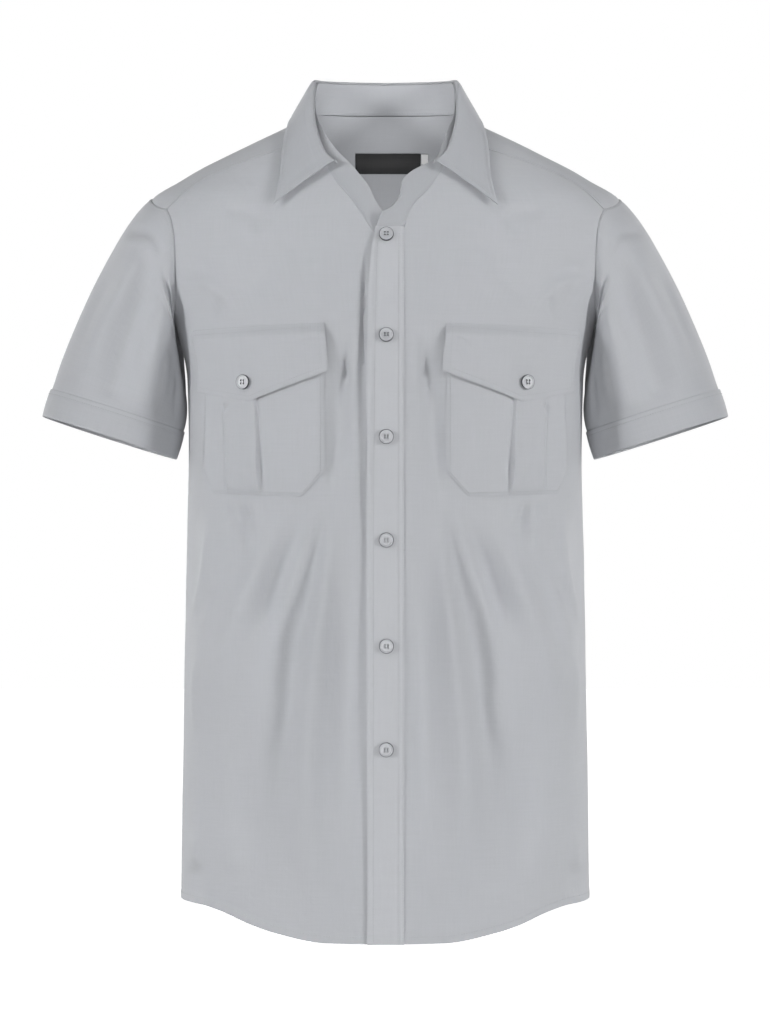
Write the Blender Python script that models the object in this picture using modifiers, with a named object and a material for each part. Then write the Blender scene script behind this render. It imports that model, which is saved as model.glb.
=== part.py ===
"""Short-sleeve shirt, worn by nobody: hollow, open at neck, hem and cuffs.

Millimetres here, metres in Blender. The front faces -Y, the wearer's left is +X, and height 0
is the side neck point, where the wearer's shoulders hold the shirt.
"""
import math

import bpy
import numpy as np

MM = 0.001

# Driving sizes
CLOTH = 1.2
SEAM_GAP = 0.35
STAND_LIFT = 1.5
LEAF_TUCK = 3.9
LEAF_ROOT_DROP = 1.7
LAYER_GAP = 0.4
SECTION_POWER = 2.4
HEM_CENTRE = -795.0
HEM_SIDE_RISE = 33.0
UNDERARM = -205.0
SHOULDER_TIP = -79.5
BACK_YOKE_SEAM = -122.0
CUFF_HEIGHT = 27.0
BUTTON_RADIUS = 7.0
BUTTON_THICKNESS = 2.6
PLACKET_RIGHT_EDGE = 17.2
PLACKET_TOP = -114.4
SIDE_SEAM_TURN = 90.0
SIDE_SEAM_HALF_GAP = 0.085
BACK_YOKE_SEAM_ACROSS = 206.0
NECK_BEHIND_SHARE = 0.46
RIGHT_FRONT_UNDERLAP = 15.2
COLLAR_CLOTH = 1.6

# Pocket and flap, wearer's left, as seen from the front; OUT is how far each lies off the front
POCKET_INNER = 58.0
POCKET_OUTER = 171.0
POCKET_TOP = -217.0
POCKET_BOTTOM = -372.0
POCKET_CORNER = 24.0
POCKET_OUTER_RISE = 4.0
PLEAT_RISE = 1.6
POCKET_OUT = 2.2
FLAP_TOP = -206.0
FLAP_OUT = POCKET_OUT + PLEAT_RISE + CLOTH + LAYER_GAP
FLAP_OVERHANG = 6.0
FLAP_INNER_DROP = 47.0
FLAP_POINT_DROP = 73.0
FLAP_OUTER_DROP = 60.0

# Cuff ring, wearer's left: centre, half its width and depth, and its three directions
CUFF_CENTRE = np.array([262.2, -4.0, -288.0])
CUFF_HALF_WIDTH = 67.5
CUFF_HALF_DEPTH = 55.0
CUFF_DOWN = np.array([0.304, -0.03, -0.952])
CUFF_OUTWARD = np.array([0.952, 0.0, 0.304])
CUFF_FORWARD = np.array([0.0, -1.0, 0.03])

# Pull of the sleeve's run along the arm, at the underarm and what the top adds
SLEEVE_LEAVE, SLEEVE_LEAVE_TOP = 70.0, 25.0
SLEEVE_ARRIVE, SLEEVE_ARRIVE_TOP = 130.0, 85.0

# Bare label and size tab inside the yoke
LABEL_LEFT, LABEL_RIGHT = -30.0, 35.5
LABEL_BOTTOM, LABEL_TOP = -45.0, -26.5
TAB_LEFT, TAB_RIGHT = 36.2, 43.0
TAB_BOTTOM, TAB_TOP = -36.0, -27.0
LABEL_CLOTH = 0.8
TAB_CLOTH = 0.6

# Steps of the armhole seam, shared by the panels and the sleeve that meet there
FRONT_STEPS = 12
OVER_STEPS = 6
BACK_STEPS = 9
YOKE_ROWS = 9

CLOTH_GREY = (0.42, 0.43, 0.45, 1.0)
BUTTON_GREY = (0.33, 0.34, 0.37, 1.0)
LABEL_BLACK = (0.015, 0.015, 0.016, 1.0)
TAB_WHITE = (0.85, 0.85, 0.85, 1.0)


def table(columns, *rows):
    """A small table as one array for each named column"""
    return {name: np.array(values, float) for name, values in zip(columns.split(), zip(*rows))}


# Level sections of the body, from hem to neck
BODY = table(
    "height half_width front back",
    (-830, 200, 128, 128),
    (-727, 199, 126, 127),
    (-560, 196.5, 123, 124),
    (-420, 194, 123, 128),
    (-330, 192, 126, 135),
    (-258, 193.5, 125, 139),
    (-205, 205, 117, 138),
    (-175, 221, 108, 134),
    (-140, 237, 98, 127),
    (-105, 240, 86, 117),
    (-80, 228, 75, 108),
    (-63, 201, 65, 101),
    (-50, 179, 57, 94),
    (-38, 155, 48, 86),
    (-23.5, 126, 37, 76),
    (-6, 90, 22, 63),
    (3, 76, 15, 56),
    (9, 68, 12, 52),
)

# Neck seam of each front, from the yoke seam down to the placket
NECK_RIGHT = table(
    "across height",
    (66, -28), (58, -48), (46, -70), (35, -83), (22.5, -101), (11.5, -118), (-2, -128), (-15, -134),
)
NECK_LEFT = table(
    "across height",
    (66, -28), (58, -48), (46, -70), (38, -80), (28, -90.5), (22, -101), (19.6, -109), (18, -116),
)
# Foot of the stand's left end, which crosses the top of the placket
STAND_FOOT_LEFT = table(
    "across height",
    (66, -28), (58, -48), (46, -70), (38, -80), (28, -90.5), (22, -101), (19.6, -109), (17, -113.6),
    (6, -114.5), (-9, -114.5),
)
# Neck seam round the yoke, as turns from the front
NECK_BACK = table(
    "turn height",
    (0, -28), (0.075, -14), (0.157, -6), (0.24, 0), (0.36, 3), (0.5, 5), (0.75, 7), (1, 7.5),
)

# Armhole in front view, and the yoke's front seam from neck to armhole
ARMHOLE = table(
    "across height",
    (205, -205), (203.2, -192), (202.4, -175), (202.2, -150), (203, -125), (206, -105), (211, -93),
)
YOKE_SEAM = table(
    "across height",
    (66, -28), (93, -33), (121, -41), (153, -53), (173, -62), (190, -73), (211, -93),
)

# Left edge of the placket strip, from hem to neck
PLACKET_EDGE = table(
    "height across",
    (-830, -17), (-450, -17), (-300, -16), (-195, -14.4), (-134, -12.6), (-122, -10.8), (-112, -9),
)

# Shares across a pocket, and the rise of its box pleat there
POCKET_ACROSS = table(
    "share pleat",
    (0, 0), (0.14, 0), (0.28, 0), (0.415, 0), (0.435, 1), (0.55, 1), (0.68, 1), (0.70, 0), (0.84, 0),
    (1, 0),
)

# Large soft folds of a front: three points of its path, rise in mm (a trough is negative), width
FRONT_FOLDS = table(
    "x0 z0 x1 z1 x2 z2 rise width",
    (38, -195, 43, -290, 72, -400, -6.5, 13),
    (95, -385, 132, -470, 170, -590, 6, 19),
    (76, -378, 98, -430, 122, -520, -6, 13),
    (47, -372, 64, -480, 78, -600, 5, 13),
    (62, -400, 84, -490, 100, -610, -4.5, 14),
    (34, -420, 31, -510, 30, -620, -3.5, 11),
    (165, -420, 172, -500, 176, -600, 4, 13),
    (120, -560, 128, -650, 132, -760, -3.5, 18),
    (60, -600, 62, -690, 64, -790, 3.5, 16),
    (96, -110, 112, -150, 150, -200, -3, 18),
)
BACK_FOLDS = table(
    "x0 z0 x1 z1 x2 z2 rise width",
    (45, -130, 52, -300, 60, -520, 5, 18),
    (85, -125, 98, -260, 110, -470, -5, 16),
    (130, -330, 118, -470, 100, -650, 5, 20),
    (20, -420, 28, -560, 34, -780, -4, 18),
    (150, -520, 140, -640, 132, -790, 4, 20),
)
# Sleeve folds: place round the sleeve (0 underarm, 0.25 front), from, to, rise, width as a share
SLEEVE_FOLDS = table(
    "place start end rise width",
    (0.27, 0.25, 1.1, -4, 0.035),
    (0.34, 0.2, 1.0, 3.5, 0.04),
    (0.19, 0.3, 1.2, 3, 0.035),
    (0.71, 0.2, 1.0, -4, 0.04),
    (0.63, 0.3, 1.1, 3.5, 0.045),
)

# Button centres down the front, and the pocket button
BUTTON_ACROSS = 1.0
BUTTON_HEIGHTS = (-122.0, -219.0, -315.0, -412.6, -513.0, -611.0)
POCKET_BUTTON_ACROSS = 132.5
POCKET_BUTTON_HEIGHT = -262.5

# Collar rim points, wearer's right half: neck seam, stand top, leaf crest, leaf edge
STAND_TOP = table(
    "x y z",
    (0, 53, 38), (36, 47, 38), (57, 30, 37), (67, 8, 35), (69, -8, 21), (67, -21, 1), (59, -35, -18),
    (48, -46, -34.5), (34, -56, -49.5), (25.5, -63, -60), (16, -71, -73), (9.5, -78, -87), (3, -84, -98),
)
STAND_TOP_LEFT_END = table(
    "x y z",
    (49, -48, -43.5), (34, -57, -52.5), (23.3, -65, -59.5), (16.5, -72, -68), (14.5, -80, -82),
    (8, -87.5, -92.5), (-3, -92.5, -99.5),
)
LEAF_CREST = table(
    "x y z",
    (0, 57.5, 40.5), (38, 51, 40.5), (61, 34, 39.5), (70.5, 8, 37.5), (73, -12, 22), (72, -28, 1),
    (67.5, -43, -20), (60, -55, -38), (49.5, -63, -48),
)
LEAF_EDGE = table(
    "x y z",
    (0, 76, -13), (42, 70, -12), (76, 47, -5), (93, 9, -3), (96, -22, -13), (99, -44, -36),
    (100, -62, -57), (103, -74, -76), (106.5, -83, -91),
)


def smooth(at, xs, ys):
    """Read a table column smoothly at any place: a cubic that never overshoots its points"""
    step = np.diff(xs)
    slope = np.diff(ys) / step
    tangent = np.zeros_like(ys)
    tangent[0], tangent[-1] = slope[0], slope[-1]
    same_way = slope[:-1] * slope[1:] > 0
    mean = 2 * slope[:-1] * slope[1:] / np.where(same_way, slope[:-1] + slope[1:], 1)
    tangent[1:-1] = np.where(same_way, mean, 0)
    at = np.clip(np.asarray(at, float), xs[0], xs[-1])
    k = np.clip(np.searchsorted(xs, at, side="right") - 1, 0, len(step) - 1)
    t = (at - xs[k]) / step[k]
    rise = ys[k] * (1 + 2 * t) * (1 - t) ** 2 + ys[k + 1] * t * t * (3 - 2 * t)
    return rise + step[k] * (tangent[k] * t * (1 - t) ** 2 - tangent[k + 1] * t * t * (1 - t))


def along(points, share):
    """Columns of a path table read smoothly by share of its length, 0 to 1"""
    columns = np.array(list(points.values()))
    length = np.concatenate(([0], np.cumsum(np.linalg.norm(np.diff(columns, axis=1), axis=0))))
    return [smooth(np.asarray(share) * length[-1], length, column) for column in columns]


def turn_at(across, height):
    """Turn from the front centre, in degrees, of a body point seen at this place from the front"""
    share = np.clip(np.abs(across) / smooth(height, BODY["height"], BODY["half_width"]), 0, 1)
    depth = (1 - share ** SECTION_POWER) ** (1 / SECTION_POWER)
    return np.degrees(np.arctan2(share, depth)) * np.sign(across)


def fade(value):
    """Smooth step from 0 to 1"""
    value = np.clip(value, 0, 1)
    return value * value * (3 - 2 * value)


def fold_rise(folds, across, height):
    """Sum of the folds at a place; both sides of the body carry them"""
    across = np.abs(across)
    total = np.zeros_like(across)
    for x0, z0, x1, z1, x2, z2, rise, width in zip(*folds.values()):
        path = (x0 * (height - z1) * (height - z2) / ((z0 - z1) * (z0 - z2))
                + x1 * (height - z0) * (height - z2) / ((z1 - z0) * (z1 - z2))
                + x2 * (height - z0) * (height - z1) / ((z2 - z0) * (z2 - z1)))
        reach = 0.4 * (z0 - z2)
        ends = fade((height - z2) / reach) * fade((z0 - height) / reach)
        total += rise * ends * np.exp(-((across - path) / width) ** 2)
    return total


def pocket_calm(across, height):
    """0 where the pocket's double cloth holds the front flat, 1 elsewhere"""
    beside = fade((np.abs(across) - 50) / 8)
    return 1 - beside * fade((height - POCKET_BOTTOM + 14) / 14) * fade((FLAP_TOP + 12 - height) / 12)


def body(turn, height):
    """Outer surface of the body: a point for each turn (degrees, 0 front, 90 wearer's left)"""
    turn, height = np.broadcast_arrays(np.asarray(turn, float), np.asarray(height, float))
    angle = np.radians(turn)
    half_width = smooth(height, BODY["height"], BODY["half_width"])
    in_front = np.cos(angle) > 0
    depth = np.where(in_front, smooth(height, BODY["height"], BODY["front"]),
                     smooth(height, BODY["height"], BODY["back"]))
    across, deep = np.sin(angle), -np.cos(angle)
    power = SECTION_POWER
    scale = (np.abs(across) ** power + np.abs(deep) ** power) ** (-1 / power)
    x, y = half_width * across * scale, depth * deep * scale
    front_rise = fold_rise(FRONT_FOLDS, x, height) * pocket_calm(x, height)
    rise = np.where(in_front, front_rise, fold_rise(BACK_FOLDS, x, height))
    rise = rise * fade(np.abs(np.cos(angle)) / 0.35)
    normal_x = np.sign(x) * np.abs(x / half_width) ** (power - 1) / half_width
    normal_y = np.sign(y) * np.abs(y / depth) ** (power - 1) / depth
    size = np.hypot(normal_x, normal_y)
    return np.stack([x + rise * normal_x / size, y + rise * normal_y / size, height], axis=-1)


def on_body(turn, height, out=0.0):
    """A body point moved out along the surface's own normal"""
    span = np.cross(body(turn + 0.4, height) - body(turn - 0.4, height),
                    body(turn, height + 0.5) - body(turn, height - 0.5))
    normal = span / np.linalg.norm(span, axis=-1, keepdims=True)
    return body(turn, height) + np.asarray(out)[..., None] * normal


def coons(bottom, top, left, right):
    """Blend four edges, each a list of points, into a grid; rows run from bottom to top"""
    s = np.linspace(0, 1, len(bottom))[None, :, None]
    t = np.linspace(0, 1, len(left))[:, None, None]
    ruled = (1 - t) * bottom[None] + t * top[None] + (1 - s) * left[:, None] + s * right[:, None]
    corners = ((1 - t) * ((1 - s) * bottom[0] + s * bottom[-1])
               + t * ((1 - s) * top[0] + s * top[-1]))
    return ruled - corners


def line(start, end, count):
    """Evenly spaced points of a straight line"""
    t = np.linspace(0, 1, count)[:, None]
    return (1 - t) * np.array(start, float) + t * np.array(end, float)


def path_on_body(across, height):
    """Front-view points as (turn, height) pairs"""
    return np.stack([turn_at(across, height), height], axis=-1)


def armhole_front(share):
    """Front half of the armhole: 0 at the underarm, 1 at the yoke's front seam"""
    points = path_on_body(*along(ARMHOLE, share))
    ahead = np.maximum(SIDE_SEAM_TURN - points[..., 0], 0)
    rounding = np.sqrt(fade(np.asarray(share) / 0.16))
    points[..., 0] = SIDE_SEAM_TURN - ahead * rounding
    return points


def armhole_over(share):
    """Over the shoulder: 0 at the yoke's front seam, 1 at the back yoke seam"""
    front_corner = armhole_front(1.0)
    back_turn = 180 - turn_at(BACK_YOKE_SEAM_ACROSS, BACK_YOKE_SEAM)
    path = table(
        "share turn height",
        (0, front_corner[0], front_corner[1]),
        (0.4, SIDE_SEAM_TURN, SHOULDER_TIP),
        (0.62, 104, -88),
        (1, back_turn, BACK_YOKE_SEAM),
    )
    turn = smooth(share, path["share"], path["turn"])
    height = smooth(share, path["share"], path["height"])
    return np.stack([turn, height], axis=-1)


def armhole_back(share):
    """Back half of the armhole: 0 at the back yoke seam, 1 at the underarm"""
    front = armhole_front(1 - np.asarray(share))
    height = BACK_YOKE_SEAM + (front[..., 1] - front[..., 1].max()) * (
        (UNDERARM - BACK_YOKE_SEAM) / (UNDERARM - ARMHOLE["height"][-1]))
    turn = 180 - front[..., 0]
    corner = 180 - turn_at(BACK_YOKE_SEAM_ACROSS, BACK_YOKE_SEAM)
    return np.stack([turn + (corner - turn) * (1 - np.asarray(share)) ** 3, height], axis=-1)


def shell(name, grid, colour, thickness, closed=False, flip=False):
    """Cloth piece: a grid of points in mm, thickened to its inner side"""
    rows, columns = grid.shape[:2]
    wrap = columns if closed else columns - 1
    faces = []
    for row in range(rows - 1):
        for column in range(wrap):
            beside = (column + 1) % columns
            face = (row * columns + column, row * columns + beside,
                    (row + 1) * columns + beside, (row + 1) * columns + column)
            faces.append(face[::-1] if flip else face)
    mesh = bpy.data.meshes.new(name)
    mesh.from_pydata((grid.reshape(-1, 3) * MM).tolist(), [], faces)
    piece = bpy.data.objects.new(name, mesh)
    shirt.objects.link(piece)
    mesh.shade_smooth()
    mesh.set_sharp_from_angle(angle=math.radians(45))
    wall = piece.modifiers.new("Wall", "SOLIDIFY")
    wall.thickness = thickness * MM
    wall.offset = -1.0
    paint(piece, colour)
    return piece


def paint(piece, colour, roughness=0.85):
    """The piece's own plain material"""
    material = bpy.data.materials.new(piece.name)
    material.use_nodes = True
    shader = material.node_tree.nodes["Principled BSDF"]
    shader.inputs["Base Color"].default_value = colour
    shader.inputs["Roughness"].default_value = roughness
    piece.data.materials.append(material)


def mirrored(grid):
    """The same piece on the other side, its columns turned round so that it still faces out"""
    return grid[:, ::-1] * np.array([-1, 1, 1])


def hem_height(turn):
    """Shirt-tail hem: level at the centre, higher at the side seams"""
    side = np.abs(np.sin(np.radians(turn)))
    return HEM_CENTRE + HEM_SIDE_RISE * np.minimum(1, (side / 0.84) ** 2.4)


def front_grid(neck, inner_edge):
    """One front: hem to underarm, then up between the neck seam and the armhole"""
    columns, low_rows, high_rows = 2 * YOKE_ROWS - 1, 18, FRONT_STEPS + 1
    side = SIDE_SEAM_TURN - SIDE_SEAM_HALF_GAP
    turn_low = turn_at(inner_edge, HEM_CENTRE)
    turn_high = turn_at(inner_edge, UNDERARM)
    hem_turns = np.linspace(turn_low, side, columns)
    hem = np.stack([hem_turns, hem_height(hem_turns)], axis=-1)
    chest = line((turn_high, UNDERARM), (side, UNDERARM), columns)
    low_heights = np.linspace(HEM_CENTRE, UNDERARM, low_rows)
    centre = np.stack([turn_at(np.full(low_rows, inner_edge), low_heights), low_heights], axis=-1)
    centre[0] = hem[0]
    low = coons(hem, chest, centre, line(hem[-1], chest[-1], low_rows))
    neck_path = np.array(along(neck, np.linspace(1, 0, 40)))
    opening = line((inner_edge, UNDERARM), (inner_edge, neck["height"][-1]), 30)[:-1].T
    edge = dict(zip(("across", "height"), np.concatenate([opening, neck_path], axis=1)))
    centre = path_on_body(*along(edge, np.linspace(0, 1, high_rows)))
    arm = armhole_front(np.linspace(0, 1, high_rows))
    arm[0] = chest[-1]
    seam = path_on_body(*along(YOKE_SEAM, np.linspace(0, 1, YOKE_ROWS)))
    seam[-1] = arm[-1]
    top = np.empty((columns, 2))
    top[::2] = seam
    top[1::2] = (seam[1:] + seam[:-1]) / 2
    centre[-1] = top[0]
    high = coons(chest, top, centre, arm)
    panel = np.concatenate([low, high[1:]])
    return on_body(panel[..., 0], panel[..., 1])


def back_grid():
    """The back from hem to the yoke's straight seam, side seam to side seam"""
    columns, low_rows, high_rows = 25, 16, BACK_STEPS + 1
    side = SIDE_SEAM_TURN + SIDE_SEAM_HALF_GAP
    turns = np.linspace(side, 360 - side, columns)
    hem = np.stack([turns, hem_height(turns)], axis=-1)
    chest = np.stack([turns, np.full(columns, UNDERARM)], axis=-1)
    low = coons(hem, chest, line(hem[0], chest[0], low_rows), line(hem[-1], chest[-1], low_rows))
    arm = armhole_back(np.linspace(1, 0, high_rows))
    arm[0] = chest[0]
    other = arm * (-1, 1) + (360, 0)
    below = np.array([0, -SEAM_GAP])
    top = line(arm[-1] + below, other[-1] + below, columns)
    arm[-1], other[-1] = top[0], top[-1]
    high = coons(chest, top, arm, other)
    panel = np.concatenate([low, high[1:]])
    return on_body(panel[..., 0], panel[..., 1])


def yoke_grid():
    """The yoke from the left front seam round behind the neck to the right front seam"""
    over, behind, rows = OVER_STEPS + 1, 17, YOKE_ROWS
    arm = armhole_over(np.linspace(0, 1, over))
    other = (arm * (-1, 1) + (360, 0))[::-1]
    seam = line(arm[-1], other[0], behind)
    outer = np.concatenate([arm, seam[1:-1], other])
    half = (len(outer) + 1) // 2
    share = np.linspace(0, 1, half)
    neck_turn = turn_at(YOKE_SEAM["across"][0], YOKE_SEAM["height"][0])
    turn = neck_turn + (180 - neck_turn) * share
    inner = np.stack([turn, smooth(share, NECK_BACK["turn"], NECK_BACK["height"])], axis=-1)
    inner = np.concatenate([inner, (inner * (-1, 1) + (360, 0))[::-1][1:]])
    seam_front = path_on_body(*along(YOKE_SEAM, np.linspace(0, 1, rows)))
    left = seam_front + SEAM_GAP * np.array([1.4, 1])
    right = left * (-1, 1) + (360, 0)
    inner[0], inner[-1] = left[0], right[0]
    outer[0], outer[-1] = left[-1], right[-1]
    panel = coons(inner, outer, left, right)
    return on_body(panel[..., 0], panel[..., 1])


def neck_seam(share, front):
    """Neck seam points from the centre back (0) to the front end (1), wearer's right half"""
    share = np.asarray(share, float)
    at_back = np.clip(1 - share / NECK_BEHIND_SHARE, 0, 1)
    neck_turn = turn_at(YOKE_SEAM["across"][0], YOKE_SEAM["height"][0])
    turn = neck_turn + (180 - neck_turn) * at_back
    height = smooth(at_back, NECK_BACK["turn"], NECK_BACK["height"])
    behind = np.stack([turn, height], axis=-1)
    in_front = np.clip((share - NECK_BEHIND_SHARE) / (1 - NECK_BEHIND_SHARE), 0, 1)
    ahead = path_on_body(*along(front, in_front))
    return np.where((share < NECK_BEHIND_SHARE)[:, None], behind, ahead)


def stand_side(foot_path, top_path):
    """Half of the collar stand, from the centre back to one front end"""
    share = np.concatenate([np.linspace(0, 0.8, 12), np.linspace(0.8, 1, 9)[1:]])
    seam = neck_seam(share, foot_path)
    on_placket = (CLOTH + LAYER_GAP) * fade((share - 0.8) / 0.12) * (foot_path is STAND_FOOT_LEFT)
    foot = on_body(seam[:, 0], seam[:, 1], on_placket)
    top = np.array(along(top_path, share)).T
    climb = (top - foot) / np.linalg.norm(top - foot, axis=1, keepdims=True)
    t = np.linspace(0, 1, 4)[:, None, None]
    return (1 - t) * (foot + STAND_LIFT * climb) + t * top


def stand_grid():
    """Collar stand, front end to front end; the wearer's left end lies on top"""
    right_foot = {key: values[:-1] for key, values in NECK_RIGHT.items()}
    left_top = {key: np.concatenate([STAND_TOP[key][:7], STAND_TOP_LEFT_END[key]])
                for key in STAND_TOP}
    right = stand_side(right_foot, STAND_TOP) * np.array([-1, 1, 1])
    left = stand_side(STAND_FOOT_LEFT, left_top)
    return np.concatenate([right[:, ::-1], left[:, 1:]], axis=1)


def leaf_grid():
    """Collar leaf: from inside its crest, over it and down to the outer edge"""
    share = np.linspace(0, 1, 15)
    crest = np.array(along(LEAF_CREST, share)).T
    edge = np.array(along(LEAF_EDGE, share)).T
    level = (edge - crest) * (1, 1, 0)
    level = level / np.linalg.norm(level, axis=1, keepdims=True)
    up = np.array([0, 0, 1])
    root = crest - LEAF_TUCK * level - LEAF_ROOT_DROP * up
    rows = [root, crest - 1.2 * level + 0.6 * up, crest + level - 0.4 * up]
    for t in (0.12, 0.3, 0.55, 0.8, 1.0):
        bulge = 0.8 * math.sin(math.pi * t) * level
        rows.append(crest + 1.4 * level + t * (edge - crest) + bulge)
    left = np.array(rows)
    right = left[:, ::-1] * np.array([-1, 1, 1])
    return np.concatenate([right, left[:, 1:]], axis=1)


def armhole_loop():
    """Closed armhole, wearer's left, from the underarm up the front; and each point's share"""
    front = armhole_front(np.linspace(0, 1, FRONT_STEPS + 1))
    over = armhole_over(np.linspace(0, 1, OVER_STEPS + 1))
    behind = armhole_back(np.linspace(0, 1, BACK_STEPS + 1))
    points = np.concatenate([front[:-1], over[:-1], behind[:-1]])
    share = np.concatenate([np.linspace(0, 0.36, FRONT_STEPS + 1)[:-1],
                            np.linspace(0.36, 0.66, OVER_STEPS + 1)[:-1],
                            np.linspace(0.66, 1, BACK_STEPS + 1)[:-1]])
    return points, share


def cuff_ring(share, drop, out):
    """A ring of the sleeve end: drop runs down the arm, out grows the ring"""
    angle = 2 * np.pi * np.asarray(share)
    ring = (-(CUFF_HALF_WIDTH + out) * np.cos(angle)[:, None] * CUFF_OUTWARD
            + (CUFF_HALF_DEPTH + out) * np.sin(angle)[:, None] * CUFF_FORWARD)
    return CUFF_CENTRE + ring + drop * CUFF_DOWN


def sleeve_grid():
    """Sleeve from the armhole to the cuff seam, wearer's left"""
    rows = 12
    loop, share = armhole_loop()
    around = len(share)
    start = on_body(loop[:, 0], loop[:, 1])
    end = cuff_ring(share, 0.0, 0.0)
    height = -np.cos(2 * np.pi * share)
    ahead = np.sin(2 * np.pi * share)
    upper = (height + 1) / 2
    leave = np.stack([0.25 + 0.65 * upper, -0.45 * ahead, -0.85 + 0.38 * upper], axis=-1)
    leave = leave / np.linalg.norm(leave, axis=1, keepdims=True)
    outward = np.stack([np.ones(around), np.zeros(around), np.zeros(around)], axis=-1)
    start = start + SEAM_GAP * (leave + outward * (1 - upper)[:, None] * 1.2)
    leave = leave * (SLEEVE_LEAVE + SLEEVE_LEAVE_TOP * upper)[:, None]
    arrive = CUFF_DOWN * (SLEEVE_ARRIVE + SLEEVE_ARRIVE_TOP * upper)[:, None]
    rings = []
    for t in np.linspace(0, 1, rows):
        ring = ((1 + 2 * t) * (1 - t) ** 2 * start + t * t * (3 - 2 * t) * end
                + t * (1 - t) ** 2 * leave - t * t * (1 - t) * arrive)
        centre = ring.mean(axis=0)
        radial = ring - centre
        radial = radial / np.linalg.norm(radial, axis=1, keepdims=True)
        rise = np.zeros(around)
        for place, first, last, height_mm, width in zip(*SLEEVE_FOLDS.values()):
            ends = fade((t - first) / 0.25) * fade((last - t) / 0.25)
            rise += height_mm * ends * np.exp(-((share - place) / width) ** 2)
        rings.append(ring + rise[:, None] * radial)
    return np.array(rings)


def cuff_grid():
    """Turned-up cuff: a band a little outside the sleeve's line"""
    share = armhole_loop()[1]
    drops = (SEAM_GAP + 0.2, CUFF_HEIGHT * 0.5, CUFF_HEIGHT)
    flares = (1.4, 1.8, 1.6)
    return np.array([cuff_ring(share, drop, out) for drop, out in zip(drops, flares)])


def placket_grid():
    """The placket strip, lying on the right front"""
    rows, columns = 30, 4
    heights = np.linspace(HEM_CENTRE, PLACKET_TOP, rows)
    left = smooth(heights, PLACKET_EDGE["height"], PLACKET_EDGE["across"])
    s = np.linspace(0, 1, columns)
    across = left[:, None] * (1 - s) + PLACKET_RIGHT_EDGE * s
    height = np.broadcast_to(heights[:, None], across.shape)
    return on_body(turn_at(across, height), height, np.full(across.shape, CLOTH + LAYER_GAP))


def pocket_grid():
    """Patch pocket with cut lower corners and a raised box pleat, wearer's left"""
    shares, rows = POCKET_ACROSS["share"], 9
    t = np.linspace(0, 1, rows)[:, None]
    middle = (POCKET_TOP + POCKET_BOTTOM) / 2
    inner_turn = turn_at(POCKET_INNER, middle)
    outer_turn = turn_at(POCKET_OUTER, middle)
    turn = inner_turn + (outer_turn - inner_turn) * shares[None, :] + 0 * t
    cut = np.interp(shares, (0, shares[1], shares[-2], 1), (1, 0, 0, 1))
    bottom = POCKET_BOTTOM + POCKET_CORNER * cut + POCKET_OUTER_RISE * shares
    height = bottom[None, :] * (1 - t) + POCKET_TOP * t
    out = POCKET_OUT + PLEAT_RISE * POCKET_ACROSS["pleat"][None, :] + 0 * t
    return on_body(turn, height, out)


def flap_grid():
    """Pointed flap over the pocket, wearer's left"""
    shares = np.linspace(-0.02, 1.04, 11)
    t = np.array([0, 0.22, 0.45, 0.67, 0.88, 1])[:, None]
    middle = FLAP_TOP - FLAP_POINT_DROP / 2
    inner_turn = turn_at(POCKET_INNER, middle)
    outer_turn = turn_at(POCKET_OUTER + FLAP_OVERHANG, middle)
    turn = inner_turn + (outer_turn - inner_turn) * shares[None, :] + 0 * t
    top = FLAP_TOP - POCKET_OUTER_RISE * shares
    drop = np.interp(shares, (shares[0], 0.5, shares[-1]),
                     (FLAP_INNER_DROP, FLAP_POINT_DROP, FLAP_OUTER_DROP))
    height = top[None, :] - drop[None, :] * (1 - t)
    out = POCKET_OUT + (FLAP_OUT - POCKET_OUT) * fade((1 - t) * drop[None, :] / 9)
    return on_body(turn, height, out)


def button(name, turn, height, out):
    """Four-hole button: a turned disc lying on the cloth"""
    centre = on_body(np.array(turn), np.array(height), np.array(out))
    above = on_body(np.array(turn), np.array(height), np.array(out + 1.0))
    rim = BUTTON_RADIUS * MM
    thick = BUTTON_THICKNESS * MM
    profile = [(0, thick * 0.72), (rim * 0.62, thick * 0.72), (rim * 0.74, thick),
               (rim * 0.92, thick * 0.96), (rim, thick * 0.55), (rim * 0.9, 0), (0, 0)]
    mesh = bpy.data.meshes.new(name)
    edges = [(k, k + 1) for k in range(len(profile) - 1)]
    mesh.from_pydata([(radius, 0, level) for radius, level in profile], edges, [])
    piece = bpy.data.objects.new(name, mesh)
    shirt.objects.link(piece)
    turned = piece.modifiers.new("Turned", "SCREW")
    turned.steps = turned.render_steps = 20
    turned.use_merge_vertices = True
    turned.merge_threshold = 0.00001
    turned.use_smooth_shade = True
    facing = bpy.data.objects.new(name + "_place", None)
    shirt.objects.link(facing)
    facing.location = centre * MM
    normal = above - centre
    facing.rotation_euler = (math.acos(normal[2] / np.linalg.norm(normal)), 0,
                             math.atan2(normal[0], -normal[1]))
    piece.parent = facing
    paint(piece, BUTTON_GREY, 0.35)
    return piece


def label_grid(left, right, low, high, columns):
    """A label on the inside of the yoke, moved in from its outer surface"""
    across = np.linspace(left, right, columns)[None, :] + np.zeros((3, 1))
    height = np.linspace(low, high, 3)[:, None] + np.zeros((1, columns))
    turn = 180 - turn_at(across, height)
    return on_body(turn, height, np.full(across.shape, -(CLOTH + LAYER_GAP)))


for old in list(bpy.data.objects):
    bpy.data.objects.remove(old)
shirt = bpy.data.collections.new("short_sleeve_shirt")
bpy.context.scene.collection.children.link(shirt)

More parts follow.
